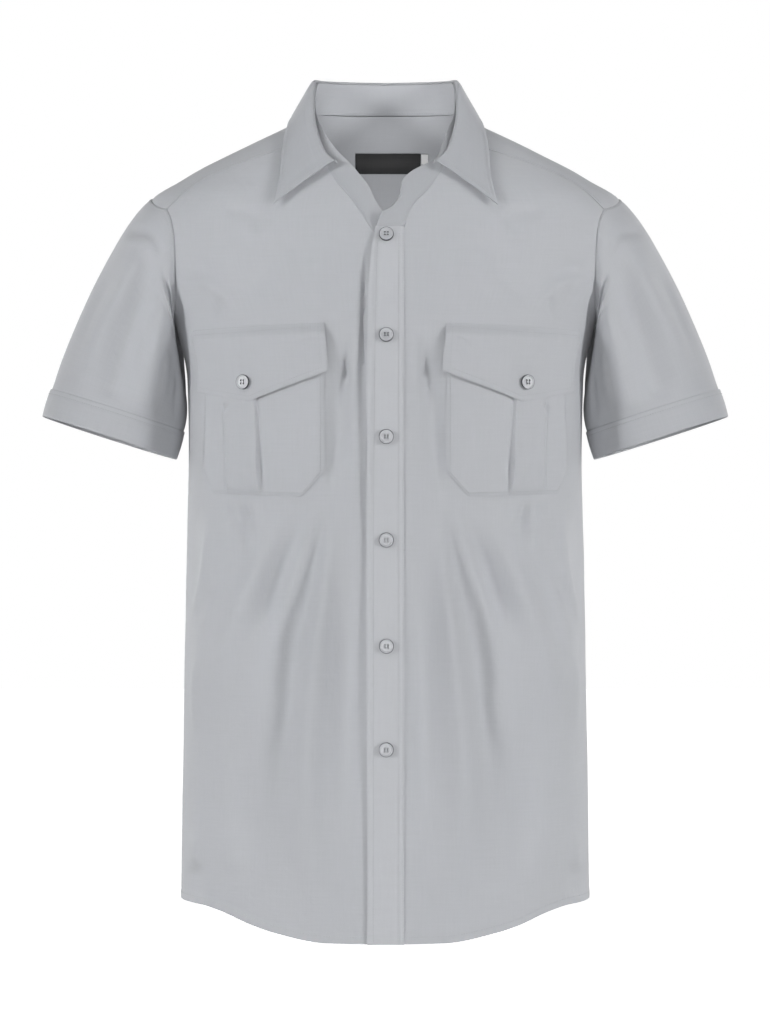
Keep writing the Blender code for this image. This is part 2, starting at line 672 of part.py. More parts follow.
# Body panels
front_left = front_grid(NECK_LEFT, PLACKET_RIGHT_EDGE + SEAM_GAP)
front_right = front_grid(NECK_RIGHT, -RIGHT_FRONT_UNDERLAP)
shell("front_left", front_left, CLOTH_GREY, CLOTH)
shell("front_right", mirrored(front_right), CLOTH_GREY, CLOTH)
shell("back", back_grid(), CLOTH_GREY, CLOTH)
shell("yoke", yoke_grid(), CLOTH_GREY, CLOTH, flip=True)
shell("placket", placket_grid(), CLOTH_GREY, CLOTH)

# Collar
shell("collar_stand", stand_grid(), CLOTH_GREY, COLLAR_CLOTH, flip=True)
shell("collar_leaf", leaf_grid(), CLOTH_GREY, COLLAR_CLOTH)

# Sleeves and cuffs, pockets and flaps, one of each side
for side in ("left", "right"):
    for name, grid, closed, flip in (
            ("sleeve", sleeve_grid(), True, True),
            ("cuff", cuff_grid(), True, True),
            ("pocket", pocket_grid(), False, False),
            ("flap", flap_grid(), False, False)):
        if side == "right":
            grid = mirrored(grid)
        shell(name + "_" + side, grid, CLOTH_GREY, CLOTH, closed, flip)

# Buttons
for number, height in enumerate(BUTTON_HEIGHTS, 1):
    button("button_" + str(number), turn_at(BUTTON_ACROSS, height), height,
           CLOTH + LAYER_GAP + LAYER_GAP)
for side, way in (("left", 1), ("right", -1)):
    turn = way * turn_at(POCKET_BUTTON_ACROSS, POCKET_BUTTON_HEIGHT)
    button("pocket_button_" + side, turn, POCKET_BUTTON_HEIGHT, FLAP_OUT + LAYER_GAP)

# Bare label and size tab inside the yoke
shell("label", label_grid(LABEL_LEFT, LABEL_RIGHT, LABEL_BOTTOM, LABEL_TOP, 9),
      LABEL_BLACK, LABEL_CLOTH, flip=True)
shell("size_tab", label_grid(TAB_LEFT, TAB_RIGHT, TAB_BOTTOM, TAB_TOP, 2),
      TAB_WHITE, TAB_CLOTH, flip=True)
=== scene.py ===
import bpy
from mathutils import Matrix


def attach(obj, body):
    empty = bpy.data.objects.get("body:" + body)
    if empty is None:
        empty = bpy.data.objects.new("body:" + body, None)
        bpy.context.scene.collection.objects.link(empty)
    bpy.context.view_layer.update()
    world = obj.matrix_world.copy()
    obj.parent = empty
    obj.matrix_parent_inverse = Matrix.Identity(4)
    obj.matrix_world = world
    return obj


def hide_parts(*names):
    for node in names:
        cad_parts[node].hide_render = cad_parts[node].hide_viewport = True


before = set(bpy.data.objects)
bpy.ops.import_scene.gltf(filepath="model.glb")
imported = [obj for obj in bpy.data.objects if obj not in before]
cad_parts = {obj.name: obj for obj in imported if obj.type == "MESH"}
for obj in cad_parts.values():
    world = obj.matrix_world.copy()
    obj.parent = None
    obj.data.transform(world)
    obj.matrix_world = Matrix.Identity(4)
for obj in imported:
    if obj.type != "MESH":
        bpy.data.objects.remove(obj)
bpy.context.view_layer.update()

import math

import bpy
import numpy as np
from mathutils import Matrix, Vector

# The photographer's room. A white floor under a white sky, a level camera at chest height, and
# gridded softboxes: one tall box for each half of the front, high and to its own side, so that
# the folds show, and two weak ones behind.
CAMERA_BACK = 3.5
CAMERA_HEIGHT = -0.3871
CAMERA_ASIDE = -0.0003
CAMERA_LENS = 125.3
FLOOR_LEVEL = -1.3
SKY_LIGHT = 0.17

camera_data = bpy.data.cameras.new("camera")
camera_data.sensor_width = 36.0
camera_data.lens = CAMERA_LENS
camera = bpy.data.objects.new("camera", camera_data)
camera.location = (CAMERA_ASIDE, -CAMERA_BACK, CAMERA_HEIGHT)
camera.rotation_euler = (math.pi / 2, 0, 0)
bpy.context.scene.collection.objects.link(camera)
bpy.context.scene.camera = camera
bpy.context.scene.view_settings.view_transform = "Standard"

world = bpy.data.worlds.new("white_room")
world.use_nodes = True
bpy.context.scene.world = world
sky_nodes, sky_links = world.node_tree.nodes, world.node_tree.links
sky_nodes.clear()
seen_sky = sky_nodes.new("ShaderNodeBackground")
lit_sky = sky_nodes.new("ShaderNodeBackground")
lit_sky.inputs["Strength"].default_value = SKY_LIGHT
for background in (seen_sky, lit_sky):
    background.inputs["Color"].default_value = (1, 1, 1, 1)
which_ray = sky_nodes.new("ShaderNodeLightPath")
sky_choice = sky_nodes.new("ShaderNodeMixShader")
sky_out = sky_nodes.new("ShaderNodeOutputWorld")
sky_links.new(which_ray.outputs["Is Camera Ray"], sky_choice.inputs["Fac"])
sky_links.new(lit_sky.outputs[0], sky_choice.inputs[1])
sky_links.new(seen_sky.outputs[0], sky_choice.inputs[2])
sky_links.new(sky_choice.outputs[0], sky_out.inputs["Surface"])

bpy.ops.mesh.primitive_plane_add(size=30, location=(0, 0, FLOOR_LEVEL))
floor = bpy.context.object
floor.name = "white_floor"
floor_paint = bpy.data.materials.new("lit_white_floor")
floor_paint.use_nodes = True
floor_shader = floor_paint.node_tree.nodes["Principled BSDF"]
floor_shader.inputs["Base Color"].default_value = (0.9, 0.9, 0.9, 1)
floor_shader.inputs["Roughness"].default_value = 0.9
floor_shader.inputs["Emission Color"].default_value = (1, 1, 1, 1)
floor_shader.inputs["Emission Strength"].default_value = 1.0
floor.data.materials.append(floor_paint)
floor.visible_diffuse = False


def softbox(name, place, aim, width, height, power, spread):
    """A rectangular light that faces its aim, narrowed by its grid to spread degrees"""
    lamp = bpy.data.lights.new(name, "AREA")
    lamp.shape = "RECTANGLE"
    lamp.size, lamp.size_y = width, height
    lamp.energy = power
    lamp.spread = math.radians(spread)
    box = bpy.data.objects.new(name, lamp)
    box.location = place
    box.rotation_euler = (Vector(aim) - Vector(place)).to_track_quat("-Z", "Y").to_euler()
    bpy.context.scene.collection.objects.link(box)


for side, way in (("right", -1), ("left", 1)):
    softbox("front_box_" + side, (way * 1.8, -1.15, -0.1), (way * 0.17, -0.08, -0.48),
            0.34, 1.7, 1.4, 20)
    softbox("back_box_" + side, (way * 1.8, 1.9, 0.4), (way * 0.1, 0.1, -0.4), 0.9, 1.5, 14, 120)
softbox("top_box", (0, -0.5, 1.6), (0, 0, -0.3), 1.6, 1.0, 0.3, 150)
softbox("front_fill_high", (0, -3.3, 0.4), (0, 0, -0.35), 1.6, 1.2, 4, 180)
softbox("front_fill_low", (0, -3.3, -1.0), (0, 0, -0.5), 1.6, 0.6, 36, 180)
softbox("neck_light", (0, -0.055, -0.15), (0, 0.1, -0.12), 0.09, 0.05, 0.13, 150)


# The cloth. A light grey poplin, plain woven from fine yarn-dyed cotton, a little uneven in its
# threads. Its pattern follows each piece's own grain: the warp runs up the piece.
MM = 0.001
CLOTH_GREY = (0.452, 0.463, 0.487, 1)
# Painted shade: the collar is the same poplin as the body, given a darker grey for the shade it lies in
COLLAR_PAINTED_SHADE_GREY = (0.41, 0.42, 0.443, 1)
# Painted highlight: the placket is the same poplin as the fronts, and its lighter grey paints in the
# light that the raised strip catches
PLACKET_PAINTED_LIGHT_GREY = (0.485, 0.496, 0.52, 1)
# Painted shade: the topstitching is tone on tone with the cloth, and the thread's darker grey stands in
# for the shade along the seams
THREAD_SEAM_SHADE_GREY = (0.28, 0.29, 0.31, 1)
CLOTH = 0.8
THREAD_PITCH = 0.00042


def node(tree, kind, inputs=(), **settings):
    """A shader node with its settings, and its inputs as values or links"""
    made = tree.nodes.new(kind)
    for key, value in settings.items():
        setattr(made, key, value)
    for socket, value in dict(inputs).items():
        if isinstance(value, bpy.types.NodeSocket):
            tree.links.new(value, made.inputs[socket])
        else:
            made.inputs[socket].default_value = value
    return made


def math_node(tree, operation, first, second=0.0):
    """One sum on values or links"""
    return node(tree, "ShaderNodeMath", {0: first, 1: second}, operation=operation).outputs[0]


def streaks(tree, grain, across, along_thread):
    """Long thin noise: how much one thread differs from the next"""
    scaled = node(tree, "ShaderNodeVectorMath", {0: grain, 1: (across, along_thread, 1)},
                  operation="MULTIPLY").outputs[0]
    return node(tree, "ShaderNodeTexNoise", {"Vector": scaled, "Scale": 1.0, "Detail": 2.0},
                noise_dimensions="2D").outputs["Fac"]


def make_weave():
    """Plain weave: takes the grain in metres, gives a tone near 1 and a height"""
    tree = bpy.data.node_groups.new("plain_weave", "ShaderNodeTree")
    sockets = tree.interface
    sockets.new_socket("Grain", in_out="INPUT", socket_type="NodeSocketVector")
    sockets.new_socket("Pitch", in_out="INPUT", socket_type="NodeSocketFloat")
    sockets.new_socket("Unevenness", in_out="INPUT", socket_type="NodeSocketFloat")
    sockets.new_socket("Tone", in_out="OUTPUT", socket_type="NodeSocketFloat")
    sockets.new_socket("Height", in_out="OUTPUT", socket_type="NodeSocketFloat")
    given = tree.nodes.new("NodeGroupInput").outputs
    parts = node(tree, "ShaderNodeSeparateXYZ", {0: given["Grain"]}).outputs
    turns = [math_node(tree, "MULTIPLY", math_node(tree, "DIVIDE", parts[axis], given["Pitch"]),
                       math.pi) for axis in ("X", "Y")]
    waves = [math_node(tree, "SINE", turn) for turn in turns]
    over = math_node(tree, "MULTIPLY", waves[0], waves[1])
    warp = streaks(tree, given["Grain"], 900.0, 30.0)
    weft = streaks(tree, given["Grain"], 30.0, 900.0)
    both = math_node(tree, "SUBTRACT", math_node(tree, "ADD", warp, weft), 1.0)
    tone = math_node(tree, "MULTIPLY", both, given["Unevenness"])
    tone = math_node(tree, "ADD", tone, math_node(tree, "MULTIPLY", over, 0.03))
    result = tree.nodes.new("NodeGroupOutput")
    tree.links.new(math_node(tree, "ADD", tone, 1.0), result.inputs["Tone"])
    height = math_node(tree, "ADD", math_node(tree, "MULTIPLY", over, 0.12),
                       math_node(tree, "MULTIPLY", both, 0.35))
    tree.links.new(height, result.inputs["Height"])
    return tree


def make_crumple():
    """Small soft unevenness of washed cloth that is no fold: a height from object coordinates"""
    tree = bpy.data.node_groups.new("soft_crumple", "ShaderNodeTree")
    tree.interface.new_socket("Size", in_out="INPUT", socket_type="NodeSocketFloat")
    tree.interface.new_socket("Height", in_out="OUTPUT", socket_type="NodeSocketFloat")
    given = tree.nodes.new("NodeGroupInput").outputs
    place = tree.nodes.new("ShaderNodeTexCoord").outputs["Object"]
    noise = node(tree, "ShaderNodeTexNoise",
                 {"Vector": place, "Scale": given["Size"], "Detail": 3.0, "Distortion": 0.6})
    result = tree.nodes.new("NodeGroupOutput")
    tree.links.new(noise.outputs["Fac"], result.inputs["Height"])
    return tree


weave, crumple = make_weave(), make_crumple()


def cloth_material(name, colour, pitch=THREAD_PITCH, unevenness=0.05, roughness=0.82,
                   sheen=0.12, crumples=0.001):
    """Woven cloth in one colour"""
    material = bpy.data.materials.new(name)
    material.use_nodes = True
    tree = material.node_tree
    shader = tree.nodes["Principled BSDF"]
    grain = node(tree, "ShaderNodeUVMap", uv_map="grain").outputs[0]
    woven = node(tree, "ShaderNodeGroup", node_tree=weave)
    tree.links.new(grain, woven.inputs["Grain"])
    woven.inputs["Pitch"].default_value = pitch
    woven.inputs["Unevenness"].default_value = unevenness
    toned = node(tree, "ShaderNodeVectorMath", {0: colour[:3], 1: woven.outputs["Tone"]},
                 operation="MULTIPLY").outputs[0]
    tree.links.new(toned, shader.inputs["Base Color"])
    soft = node(tree, "ShaderNodeGroup", node_tree=crumple)
    soft.inputs["Size"].default_value = 55.0
    rough_bump = node(tree, "ShaderNodeBump", {"Strength": 0.5, "Distance": crumples,
                                               "Height": soft.outputs["Height"]})
    bump = node(tree, "ShaderNodeBump", {"Strength": 0.35, "Distance": 0.00012,
                                         "Height": woven.outputs["Height"],
                                         "Normal": rough_bump.outputs[0]})
    tree.links.new(bump.outputs[0], shader.inputs["Normal"])
    shader.inputs["Roughness"].default_value = roughness
    shader.inputs["Sheen Weight"].default_value = sheen
    shader.inputs["Sheen Roughness"].default_value = 0.5
    shader.inputs["Specular IOR Level"].default_value = 0.25
    return material


poplin = cloth_material("grey_poplin", CLOTH_GREY)
# A lighter copy of the poplin for the placket: a painted highlight
placket_poplin_painted_light = cloth_material("placket_poplin_painted_light", PLACKET_PAINTED_LIGHT_GREY)
# A darker copy of the poplin for the collar: a painted shade
collar_poplin_painted_shade = cloth_material("grey_collar_poplin", COLLAR_PAINTED_SHADE_GREY, crumples=0.0003)
# Stitching thread in a darker grey than the cloth, a painted seam shade
thread_material = bpy.data.materials.new("grey_thread")
thread_material.use_nodes = True
thread_shader = thread_material.node_tree.nodes["Principled BSDF"]
thread_place = thread_material.node_tree.nodes.new("ShaderNodeTexCoord").outputs["Object"]
twist = node(thread_material.node_tree, "ShaderNodeTexWave",
             {"Vector": thread_place, "Scale": 900.0, "Distortion": 1.0})
ply = node(thread_material.node_tree, "ShaderNodeMix",
           {"Factor": twist.outputs["Fac"], 6: THREAD_SEAM_SHADE_GREY, 7: (0.46, 0.47, 0.49, 1)},
           data_type="RGBA")
thread_material.node_tree.links.new(ply.outputs[2], thread_shader.inputs["Base Color"])
thread_shader.inputs["Roughness"].default_value = 0.6


def finish_mesh(name, points, faces, material):
    """An object at the origin from points in mm"""
    mesh = bpy.data.meshes.new(name)
    mesh.from_pydata((np.asarray(points).reshape(-1, 3) * MM).tolist(), [], faces)
    piece = bpy.data.objects.new(name, mesh)
    bpy.context.scene.collection.objects.link(piece)
    mesh.materials.append(material)
    return piece


def cloth(name, replaced, grid, grain, material, wall=CLOTH, girth=0.0, flip=False):
    """A cloth piece from its net of outer points in mm, with a wall on the inside.

    grain is each point's place on the cut cloth, and girth closes the net round a limb.
    """
    rows, columns = grid.shape[:2]
    number = np.arange(rows * columns).reshape(rows, columns)
    across = np.broadcast_to(grain[..., 0], (rows, columns))
    up = np.broadcast_to(grain[..., 1], (rows, columns))
    if girth:
        number = np.concatenate([number, number[:, :1]], axis=1)
        across = np.concatenate([across, across[:, :1] + girth], axis=1)
        up = np.concatenate([up, up[:, :1]], axis=1)
    corners = [(slice(None, -1), slice(None, -1)), (slice(None, -1), slice(1, None)),
               (slice(1, None), slice(1, None)), (slice(1, None), slice(None, -1))]
    if flip:
        corners = corners[::-1]
    faces = np.stack([number[corner].ravel() for corner in corners], axis=1)
    piece = finish_mesh(name, grid, faces.tolist(), material)
    mesh = piece.data
    places = np.stack([np.stack([a[corner].ravel() for corner in corners], axis=1)
                       for a in (across, up)], axis=-1)
    layer = mesh.uv_layers.new(name="grain")
    layer.data.foreach_set("uv", (places * MM).astype(np.float32).ravel())
    thickness = piece.modifiers.new("wall", "SOLIDIFY")
    thickness.thickness = wall * MM
    thickness.offset = -1.0
    bpy.ops.object.select_all(action="DESELECT")
    bpy.context.view_layer.objects.active = piece
    piece.select_set(True)
    bpy.ops.object.modifier_apply(modifier=thickness.name)
    piece.data.shade_smooth()
    piece.data.set_sharp_from_angle(angle=math.radians(60))
    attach(piece, "root")
    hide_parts(replaced)
    return piece


STITCH = 2.5
STITCH_GAP = 0.7
THREAD_RADIUS = 0.22


def sew(name, *runs):
    """Lockstitches along runs; a run is its points on the cloth and the cloth's normals there"""
    points, faces = [], []
    for path, normals in runs:
        length = np.concatenate(([0], np.cumsum(np.linalg.norm(np.diff(path, axis=0), axis=1))))
        starts = np.arange(0, length[-1] - STITCH, STITCH)
        for start in starts:
            places = [start, start + 0.3, start + STITCH - STITCH_GAP - 0.3,
                      start + STITCH - STITCH_GAP]
            on_run = np.array([[np.interp(at, length, path[:, axis]) for axis in range(3)]
                               for at in places])
            normal = np.array([np.interp(start, length, normals[:, axis]) for axis in range(3)])
            ahead = on_run[-1] - on_run[0]
            aside = np.cross(ahead, normal)
            aside = aside / (np.linalg.norm(aside) + 1e-9)
            first = len(points)
            points.append(on_run[0] - 0.1 * normal)
            for middle in on_run[1:3]:
                for sideways, out in ((-1, 0.2), (0, 1.25), (1, 0.2), (0, -0.4)):
                    points.append(middle + THREAD_RADIUS * (sideways * aside + out * normal))
            points.append(on_run[-1] - 0.1 * normal)
            for k in range(4):
                a, b = first + 1 + k, first + 1 + (k + 1) % 4
                faces += [(first, b, a), (a, b, b + 4, a + 4), (a + 4, b + 4, first + 9)]
    piece = finish_mesh(name, np.array(points), faces, thread_material)
    piece.data.shade_smooth()
    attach(piece, "root")
    return piece


# Two fronts. Each is one panel from shoulder to shirt-tail hem, cut with the grain up and down.
# The body they stand round is read from level sections, and the cloth hangs from the shoulders
# in long soft folds that start under the pockets.
def table(columns, *rows):
    """A small table as one array for each named column"""
    return {name: np.array(values, float) for name, values in zip(columns.split(), zip(*rows))}


SEAM_GAP = 0.35
SECTION_POWER = 2.4
HEM_CENTRE = -795.0
HEM_FOLD = 6.5
UNDERARM = -205.0
SHOULDER_TIP = -79.5
BACK_YOKE_SEAM = -122.0
BACK_YOKE_SEAM_ACROSS = 206.0
SIDE_SEAM_TURN = 90.0
SIDE_SEAM_HALF_GAP = 0.01
PLACKET_RIGHT_EDGE = 17.2
RIGHT_FRONT_UNDERLAP = 15.2
POCKET_BOTTOM = -372.0
FLAP_TOP = -206.0
MM_PER_DEGREE = 2.9

BODY = table(
    "height half_width front back",
    (-830, 200, 128, 128), (-727, 199, 126, 127), (-560, 196.5, 123, 124), (-420, 194, 123, 128),
    (-330, 192, 126, 135), (-258, 193.5, 125, 139), (-205, 205, 117, 138), (-175, 221, 108, 134),
    (-140, 237, 98, 127), (-105, 240, 86, 117), (-80, 228, 75, 108), (-63, 201, 65, 101),
    (-50, 179, 57, 94), (-38, 155, 48, 86), (-23.5, 126, 37, 76), (-6, 90, 22, 63),
    (3, 76, 15, 56), (9, 68, 12, 52),
)
NECK_RIGHT = table(
    "across height",
    (66, -28), (58, -48), (46, -70), (35, -83), (22.5, -101), (11.5, -118), (-2, -128), (-15, -134),
)
NECK_LEFT = table(
    "across height",
    (66, -28), (58, -48), (46, -70), (38, -80), (28, -90.5), (22, -101), (19.6, -109), (18, -116),
)
ARMHOLE = table(
    "across height",
    (205, -205), (203.2, -192), (202.4, -175), (202.2, -150), (203, -125), (206, -105), (211, -93),
)
YOKE_SEAM = table(
    "across height",
    (66, -28), (93, -33), (121, -41), (153, -53), (173, -62), (190, -73), (211, -93),
)
# Rise of the hem from the centre, where side is 0, to the side seams
HEM_RISE = table(
    "side rise",
    (0, 0), (0.28, 1.2), (0.50, 9.6), (0.61, 16.8), (0.75, 28.2), (0.85, 32.2), (1, 33),
)
# Folds as three points of a path, a rise (a trough is negative) and a width, all in mm
FRONT_FOLDS = table(
    "x0 z0 x1 z1 x2 z2 rise width",
    (38, -195, 43, -290, 72, -400, -4.2, 13),
    (95, -385, 132, -470, 170, -590, 6, 15),
    (76, -378, 98, -430, 122, -520, -6, 13),
    (47, -372, 66, -520, 80, -740, 5.5, 14),
    (62, -395, 90, -530, 104, -710, -5.5, 14),
    (32, -410, 36, -560, 42, -740, -4, 12),
    (165, -420, 172, -500, 176, -600, 4, 13),
    (120, -560, 128, -650, 132, -760, -3.5, 18),
    (60, -600, 62, -690, 64, -790, 3.5, 16),
    (96, -110, 112, -150, 150, -200, -3, 18),
)
BACK_FOLDS = table(
    "x0 z0 x1 z1 x2 z2 rise width",
    (45, -130, 52, -300, 60, -520, 5, 18),
    (85, -125, 98, -260, 110, -470, -5, 16),
    (130, -330, 118, -470, 100, -650, 5, 20),
    (20, -420, 28, -560, 34, -780, -4, 18),
    (150, -520, 140, -640, 132, -790, 4, 20),
)
# Sharper creases, in any direction, read the same way
FRONT_CREASES = table(
    "x0 z0 x1 z1 x2 z2 rise width",
    (37, -208, 39, -251, 47, -290, -2.2, 4.5),
    (30, -215, 33, -262, 38, -310, 1.4, 5),
    (192, -170, 166, -170, 139, -204, 2.6, 8),
    (202, -155, 176, -153, 150, -166, -2.2, 9),
    (159, -178, 157, -190, 158, -204, -1.6, 4),
    (190, -210, 189, -222, 190, -234, -1.8, 6),
    (188, -240, 182, -236, 174, -231, 1.4, 5),
    (112, -98, 119, -107, 127, -122, -1.6, 6),
    (156, -100, 135, -98, 108, -104, -1.5, 7),
    (92, -128, 100, -150, 96, -182, 1.2, 12),
    (60, -130, 66, -165, 62, -196, 1.0, 14),
    (66, -389, 87, -446, 105, -510, 2.2, 6),
    (56, -374, 68, -432, 80, -520, -2.8, 5),
    (48, -385, 58, -470, 68, -560, 1.6, 6),
    (174, -516, 181, -560, 184, -610, 1.6, 5),
    (170, -376, 174, -446, 188, -505, 2.4, 5),
    (186, -376, 187, -420, 186, -470, -2.2, 8),
    (150, -388, 142, -405, 144, -436, 2.0, 6),
    (163, -440, 172, -470, 180, -498, -2.6, 8),
    (131, -380, 134, -400, 128, -430, -2.0, 7),
    (97, -545, 103, -575, 108, -610, 1.5, 6),
    (142, -680, 144, -707, 140, -735, 1.5, 13),
    (180, -690, 182, -712, 178, -730, 2.0, 7),
    (186, -725, 184, -742, 182, -760, -1.6, 9),
    (140, -600, 137, -640, 138, -690, -1.6, 11),
    (86, -630, 84, -680, 81, -740, 1.6, 13),
    (54, -620, 58, -660, 57, -712, -1.7, 9),
    (36, -640, 40, -700, 38, -770, 1.2, 9),
    (154, -371, 151, -380, 149, -394, 1.1, 2.6),
    (147, -372, 144, -386, 141, -404, -1.4, 3),
    (141, -373, 138, -384, 133, -402, 1.4, 3),
    (134, -373, 132, -390, 126, -414, -1.6, 3.4),
    (127, -374, 125, -388, 118, -404, 1.3, 3),
    (119, -374, 117, -382, 112, -396, -1.0, 2.8),
    (100, -370, 96, -378, 90, -384, -1.0, 4),
    (20, -203, 60, -204, 120, -205.5, -0.5, 2.2),
)
BACK_CREASES = table(
    "x0 z0 x1 z1 x2 z2 rise width",
    (196, -175, 168, -182, 140, -214, 2.4, 9),
    (190, -196, 160, -206, 138, -246, -2.2, 9),
    (150, -150, 132, -200, 128, -262, 1.8, 10),
    (62, -126, 66, -170, 60, -230, 2.0, 7),
    (30, -128, 26, -190, 30, -250, -1.6, 9),
    (178, -300, 168, -360, 176, -430, -2.2, 10),
    (150, -410, 120, -450, 84, -462, 1.8, 9),
    (146, -424, 118, -462, 82, -476, -1.6, 8),
    (70, -520, 62, -600, 66, -690, 2.0, 12),
    (104, -560, 112, -640, 108, -720, -2.2, 12),
    (182, -560, 176, -640, 180, -720, 2.0, 10),
    (12, -600, 6, -680, 10, -770, 1.5, 12),
)
# On one side only: the right front dips beside the placket, where the left front lifts off it
PLACKET_DIP = table(
    "x0 z0 x1 z1 x2 z2 rise width",
    (-17, -124, -20.5, -215, -20, -340, -5.5, 4.2),
    (-20, -300, -20.5, -450, -20.5, -680, -2.6, 3.4),
)


def smooth(at, xs, ys):
    """Read a table column smoothly at any place: a cubic that never overshoots its points"""
    step = np.diff(xs)
    slope = np.diff(ys) / step
    tangent = np.zeros_like(ys)
    tangent[0], tangent[-1] = slope[0], slope[-1]
    same_way = slope[:-1] * slope[1:] > 0
    mean = 2 * slope[:-1] * slope[1:] / np.where(same_way, slope[:-1] + slope[1:], 1)
    tangent[1:-1] = np.where(same_way, mean, 0)
    at = np.clip(np.asarray(at, float), xs[0], xs[-1])
    k = np.clip(np.searchsorted(xs, at, side="right") - 1, 0, len(step) - 1)
    t = (at - xs[k]) / step[k]
    rise = ys[k] * (1 + 2 * t) * (1 - t) ** 2 + ys[k + 1] * t * t * (3 - 2 * t)
    return rise + step[k] * (tangent[k] * t * (1 - t) ** 2 - tangent[k + 1] * t * t * (1 - t))


def along(points, share):
    """Columns of a path table read smoothly by share of its length, 0 to 1"""
    columns = np.array(list(points.values()))
    length = np.concatenate(([0], np.cumsum(np.linalg.norm(np.diff(columns, axis=1), axis=0))))
    return [smooth(np.asarray(share) * length[-1], length, column) for column in columns]


def turn_at(across, height):
    """Turn from the front centre, in degrees, of a body point seen at this place from the front"""
    share = np.clip(np.abs(across) / smooth(height, BODY["height"], BODY["half_width"]), 0, 1)
    depth = (1 - share ** SECTION_POWER) ** (1 / SECTION_POWER)
    return np.degrees(np.arctan2(share, depth)) * np.sign(across)


def fade(value):
    """Smooth step from 0 to 1"""
    value = np.clip(value, 0, 1)
    return value * value * (3 - 2 * value)


FOLD_DEPTH = 1.6


def fold_rise(folds, across, height):
    """Sum of the long folds, whose paths run down the body"""
    total = np.zeros_like(across)
    for x0, z0, x1, z1, x2, z2, rise, width in zip(*folds.values()):
        path = (x0 * (height - z1) * (height - z2) / ((z0 - z1) * (z0 - z2))
                + x1 * (height - z0) * (height - z2) / ((z1 - z0) * (z1 - z2))
                + x2 * (height - z0) * (height - z1) / ((z2 - z0) * (z2 - z1)))
        reach = 0.4 * (z0 - z2)
        ends = fade((height - z2) / reach) * fade((z0 - height) / reach)
        total += rise * ends * np.exp(-((across - path) / width) ** 2)
    return total


def crease_rise(creases, across, height):
    """Sum of the creases: each a bent line, deepest in its middle third"""
    total = np.zeros_like(across)
    for x0, z0, x1, z1, x2, z2, rise, width in zip(*creases.values()):
        low = np.minimum(np.minimum(z0, z1), z2) - 3 * width
        high = np.maximum(np.maximum(z0, z1), z2) + 3 * width
        left = np.minimum(np.minimum(x0, x1), x2) - 3 * width
        right = np.maximum(np.maximum(x0, x1), x2) + 3 * width
        near = (height > low) & (height < high) & (across > left) & (across < right)
        if not near.any():
            continue
        spot = np.stack([across[near], height[near]], axis=-1)
        t = np.linspace(0, 1, 15)[:, None]
        bend = 2 * np.array([x1, z1]) - (np.array([x0, z0]) + np.array([x2, z2])) / 2
        path = (1 - t) ** 2 * np.array([x0, z0]) + 2 * t * (1 - t) * bend + t * t * np.array([x2, z2])
        nearest = np.full(len(spot), np.inf)
        share = np.zeros(len(spot))
        for k in range(len(path) - 1):
            run = path[k + 1] - path[k]
            along_run = np.clip(((spot - path[k]) @ run) / (run @ run), 0, 1)
            distance = np.linalg.norm(spot - path[k] - along_run[:, None] * run, axis=1)
            closer = distance < nearest
            nearest = np.where(closer, distance, nearest)
            share = np.where(closer, (k + along_run) / (len(path) - 1), share)
        taper = fade(share / 0.35) * fade((1 - share) / 0.35)
        total[near] += rise * taper * np.exp(-(nearest / width) ** 2)
    return total


def unevenness(across, height):
    """A slight soft waviness of hanging cloth, in mm"""
    return (0.28 * np.sin(across / 17 + 1.3 * np.sin(height / 61) + 0.4)
            + 0.22 * np.sin(height / 27 + 1.7 * np.sin(across / 43) + 1.1)
            + 0.16 * np.sin((across + 0.6 * height) / 11 + np.sin(height / 38))
            + 0.12 * np.sin((across - 0.8 * height) / 8.3 + 2 * np.sin(across / 57)))


def pocket_calm(across, height):
    """0 where the pocket's double cloth holds the front flat, 1 elsewhere"""
    beside = fade((np.abs(across) - 50) / 8)
    return 1 - beside * fade((height - POCKET_BOTTOM + 14) / 14) * fade((FLAP_TOP + 12 - height) / 12)


def body(turn, height):
    """Outer surface of the body: a point for each turn (degrees, 0 front, 90 wearer's left)"""
    turn, height = np.broadcast_arrays(np.asarray(turn, float), np.asarray(height, float))
    angle = np.radians(turn)
    half_width = smooth(height, BODY["height"], BODY["half_width"])
    in_front = np.cos(angle) > 0
    depth = np.where(in_front, smooth(height, BODY["height"], BODY["front"]),
                     smooth(height, BODY["height"], BODY["back"]))
    across, deep = np.sin(angle), -np.cos(angle)
    power = SECTION_POWER
    scale = (np.abs(across) ** power + np.abs(deep) ** power) ** (-1 / power)
    x, y = half_width * across * scale, depth * deep * scale
    aside = np.abs(x)
    hanging = fold_rise(FRONT_FOLDS, aside, height) + crease_rise(FRONT_CREASES, aside, height)
    in_front_rise = (FOLD_DEPTH * hanging * pocket_calm(x, height)
                     + crease_rise(PLACKET_DIP, x, height))
    behind_rise = fold_rise(BACK_FOLDS, aside, height) + crease_rise(BACK_CREASES, aside, height)
    rise = np.where(in_front, in_front_rise, behind_rise)
    edge_on = fade(np.abs(np.cos(angle)) / 0.35)
    rise = rise * edge_on + unevenness(x + y, height) * (0.35 + 0.65 * edge_on)
    normal_x = np.sign(x) * np.abs(x / half_width) ** (power - 1) / half_width
    normal_y = np.sign(y) * np.abs(y / depth) ** (power - 1) / depth
    size = np.hypot(normal_x, normal_y)
    return np.stack([x + rise * normal_x / size, y + rise * normal_y / size, height], axis=-1)


def body_normal(turn, height):
    """Outward normal of the body at a turn and height"""
    turn, height = np.asarray(turn, float), np.asarray(height, float)
    span = np.cross(body(turn + 0.4, height) - body(turn - 0.4, height),
                    body(turn, height + 0.5) - body(turn, height - 0.5))
    return span / np.linalg.norm(span, axis=-1, keepdims=True)


def on_body(turn, height, out=0.0):
    """A body point moved out along the surface's own normal"""
    return body(turn, height) + np.asarray(out)[..., None] * body_normal(turn, height)


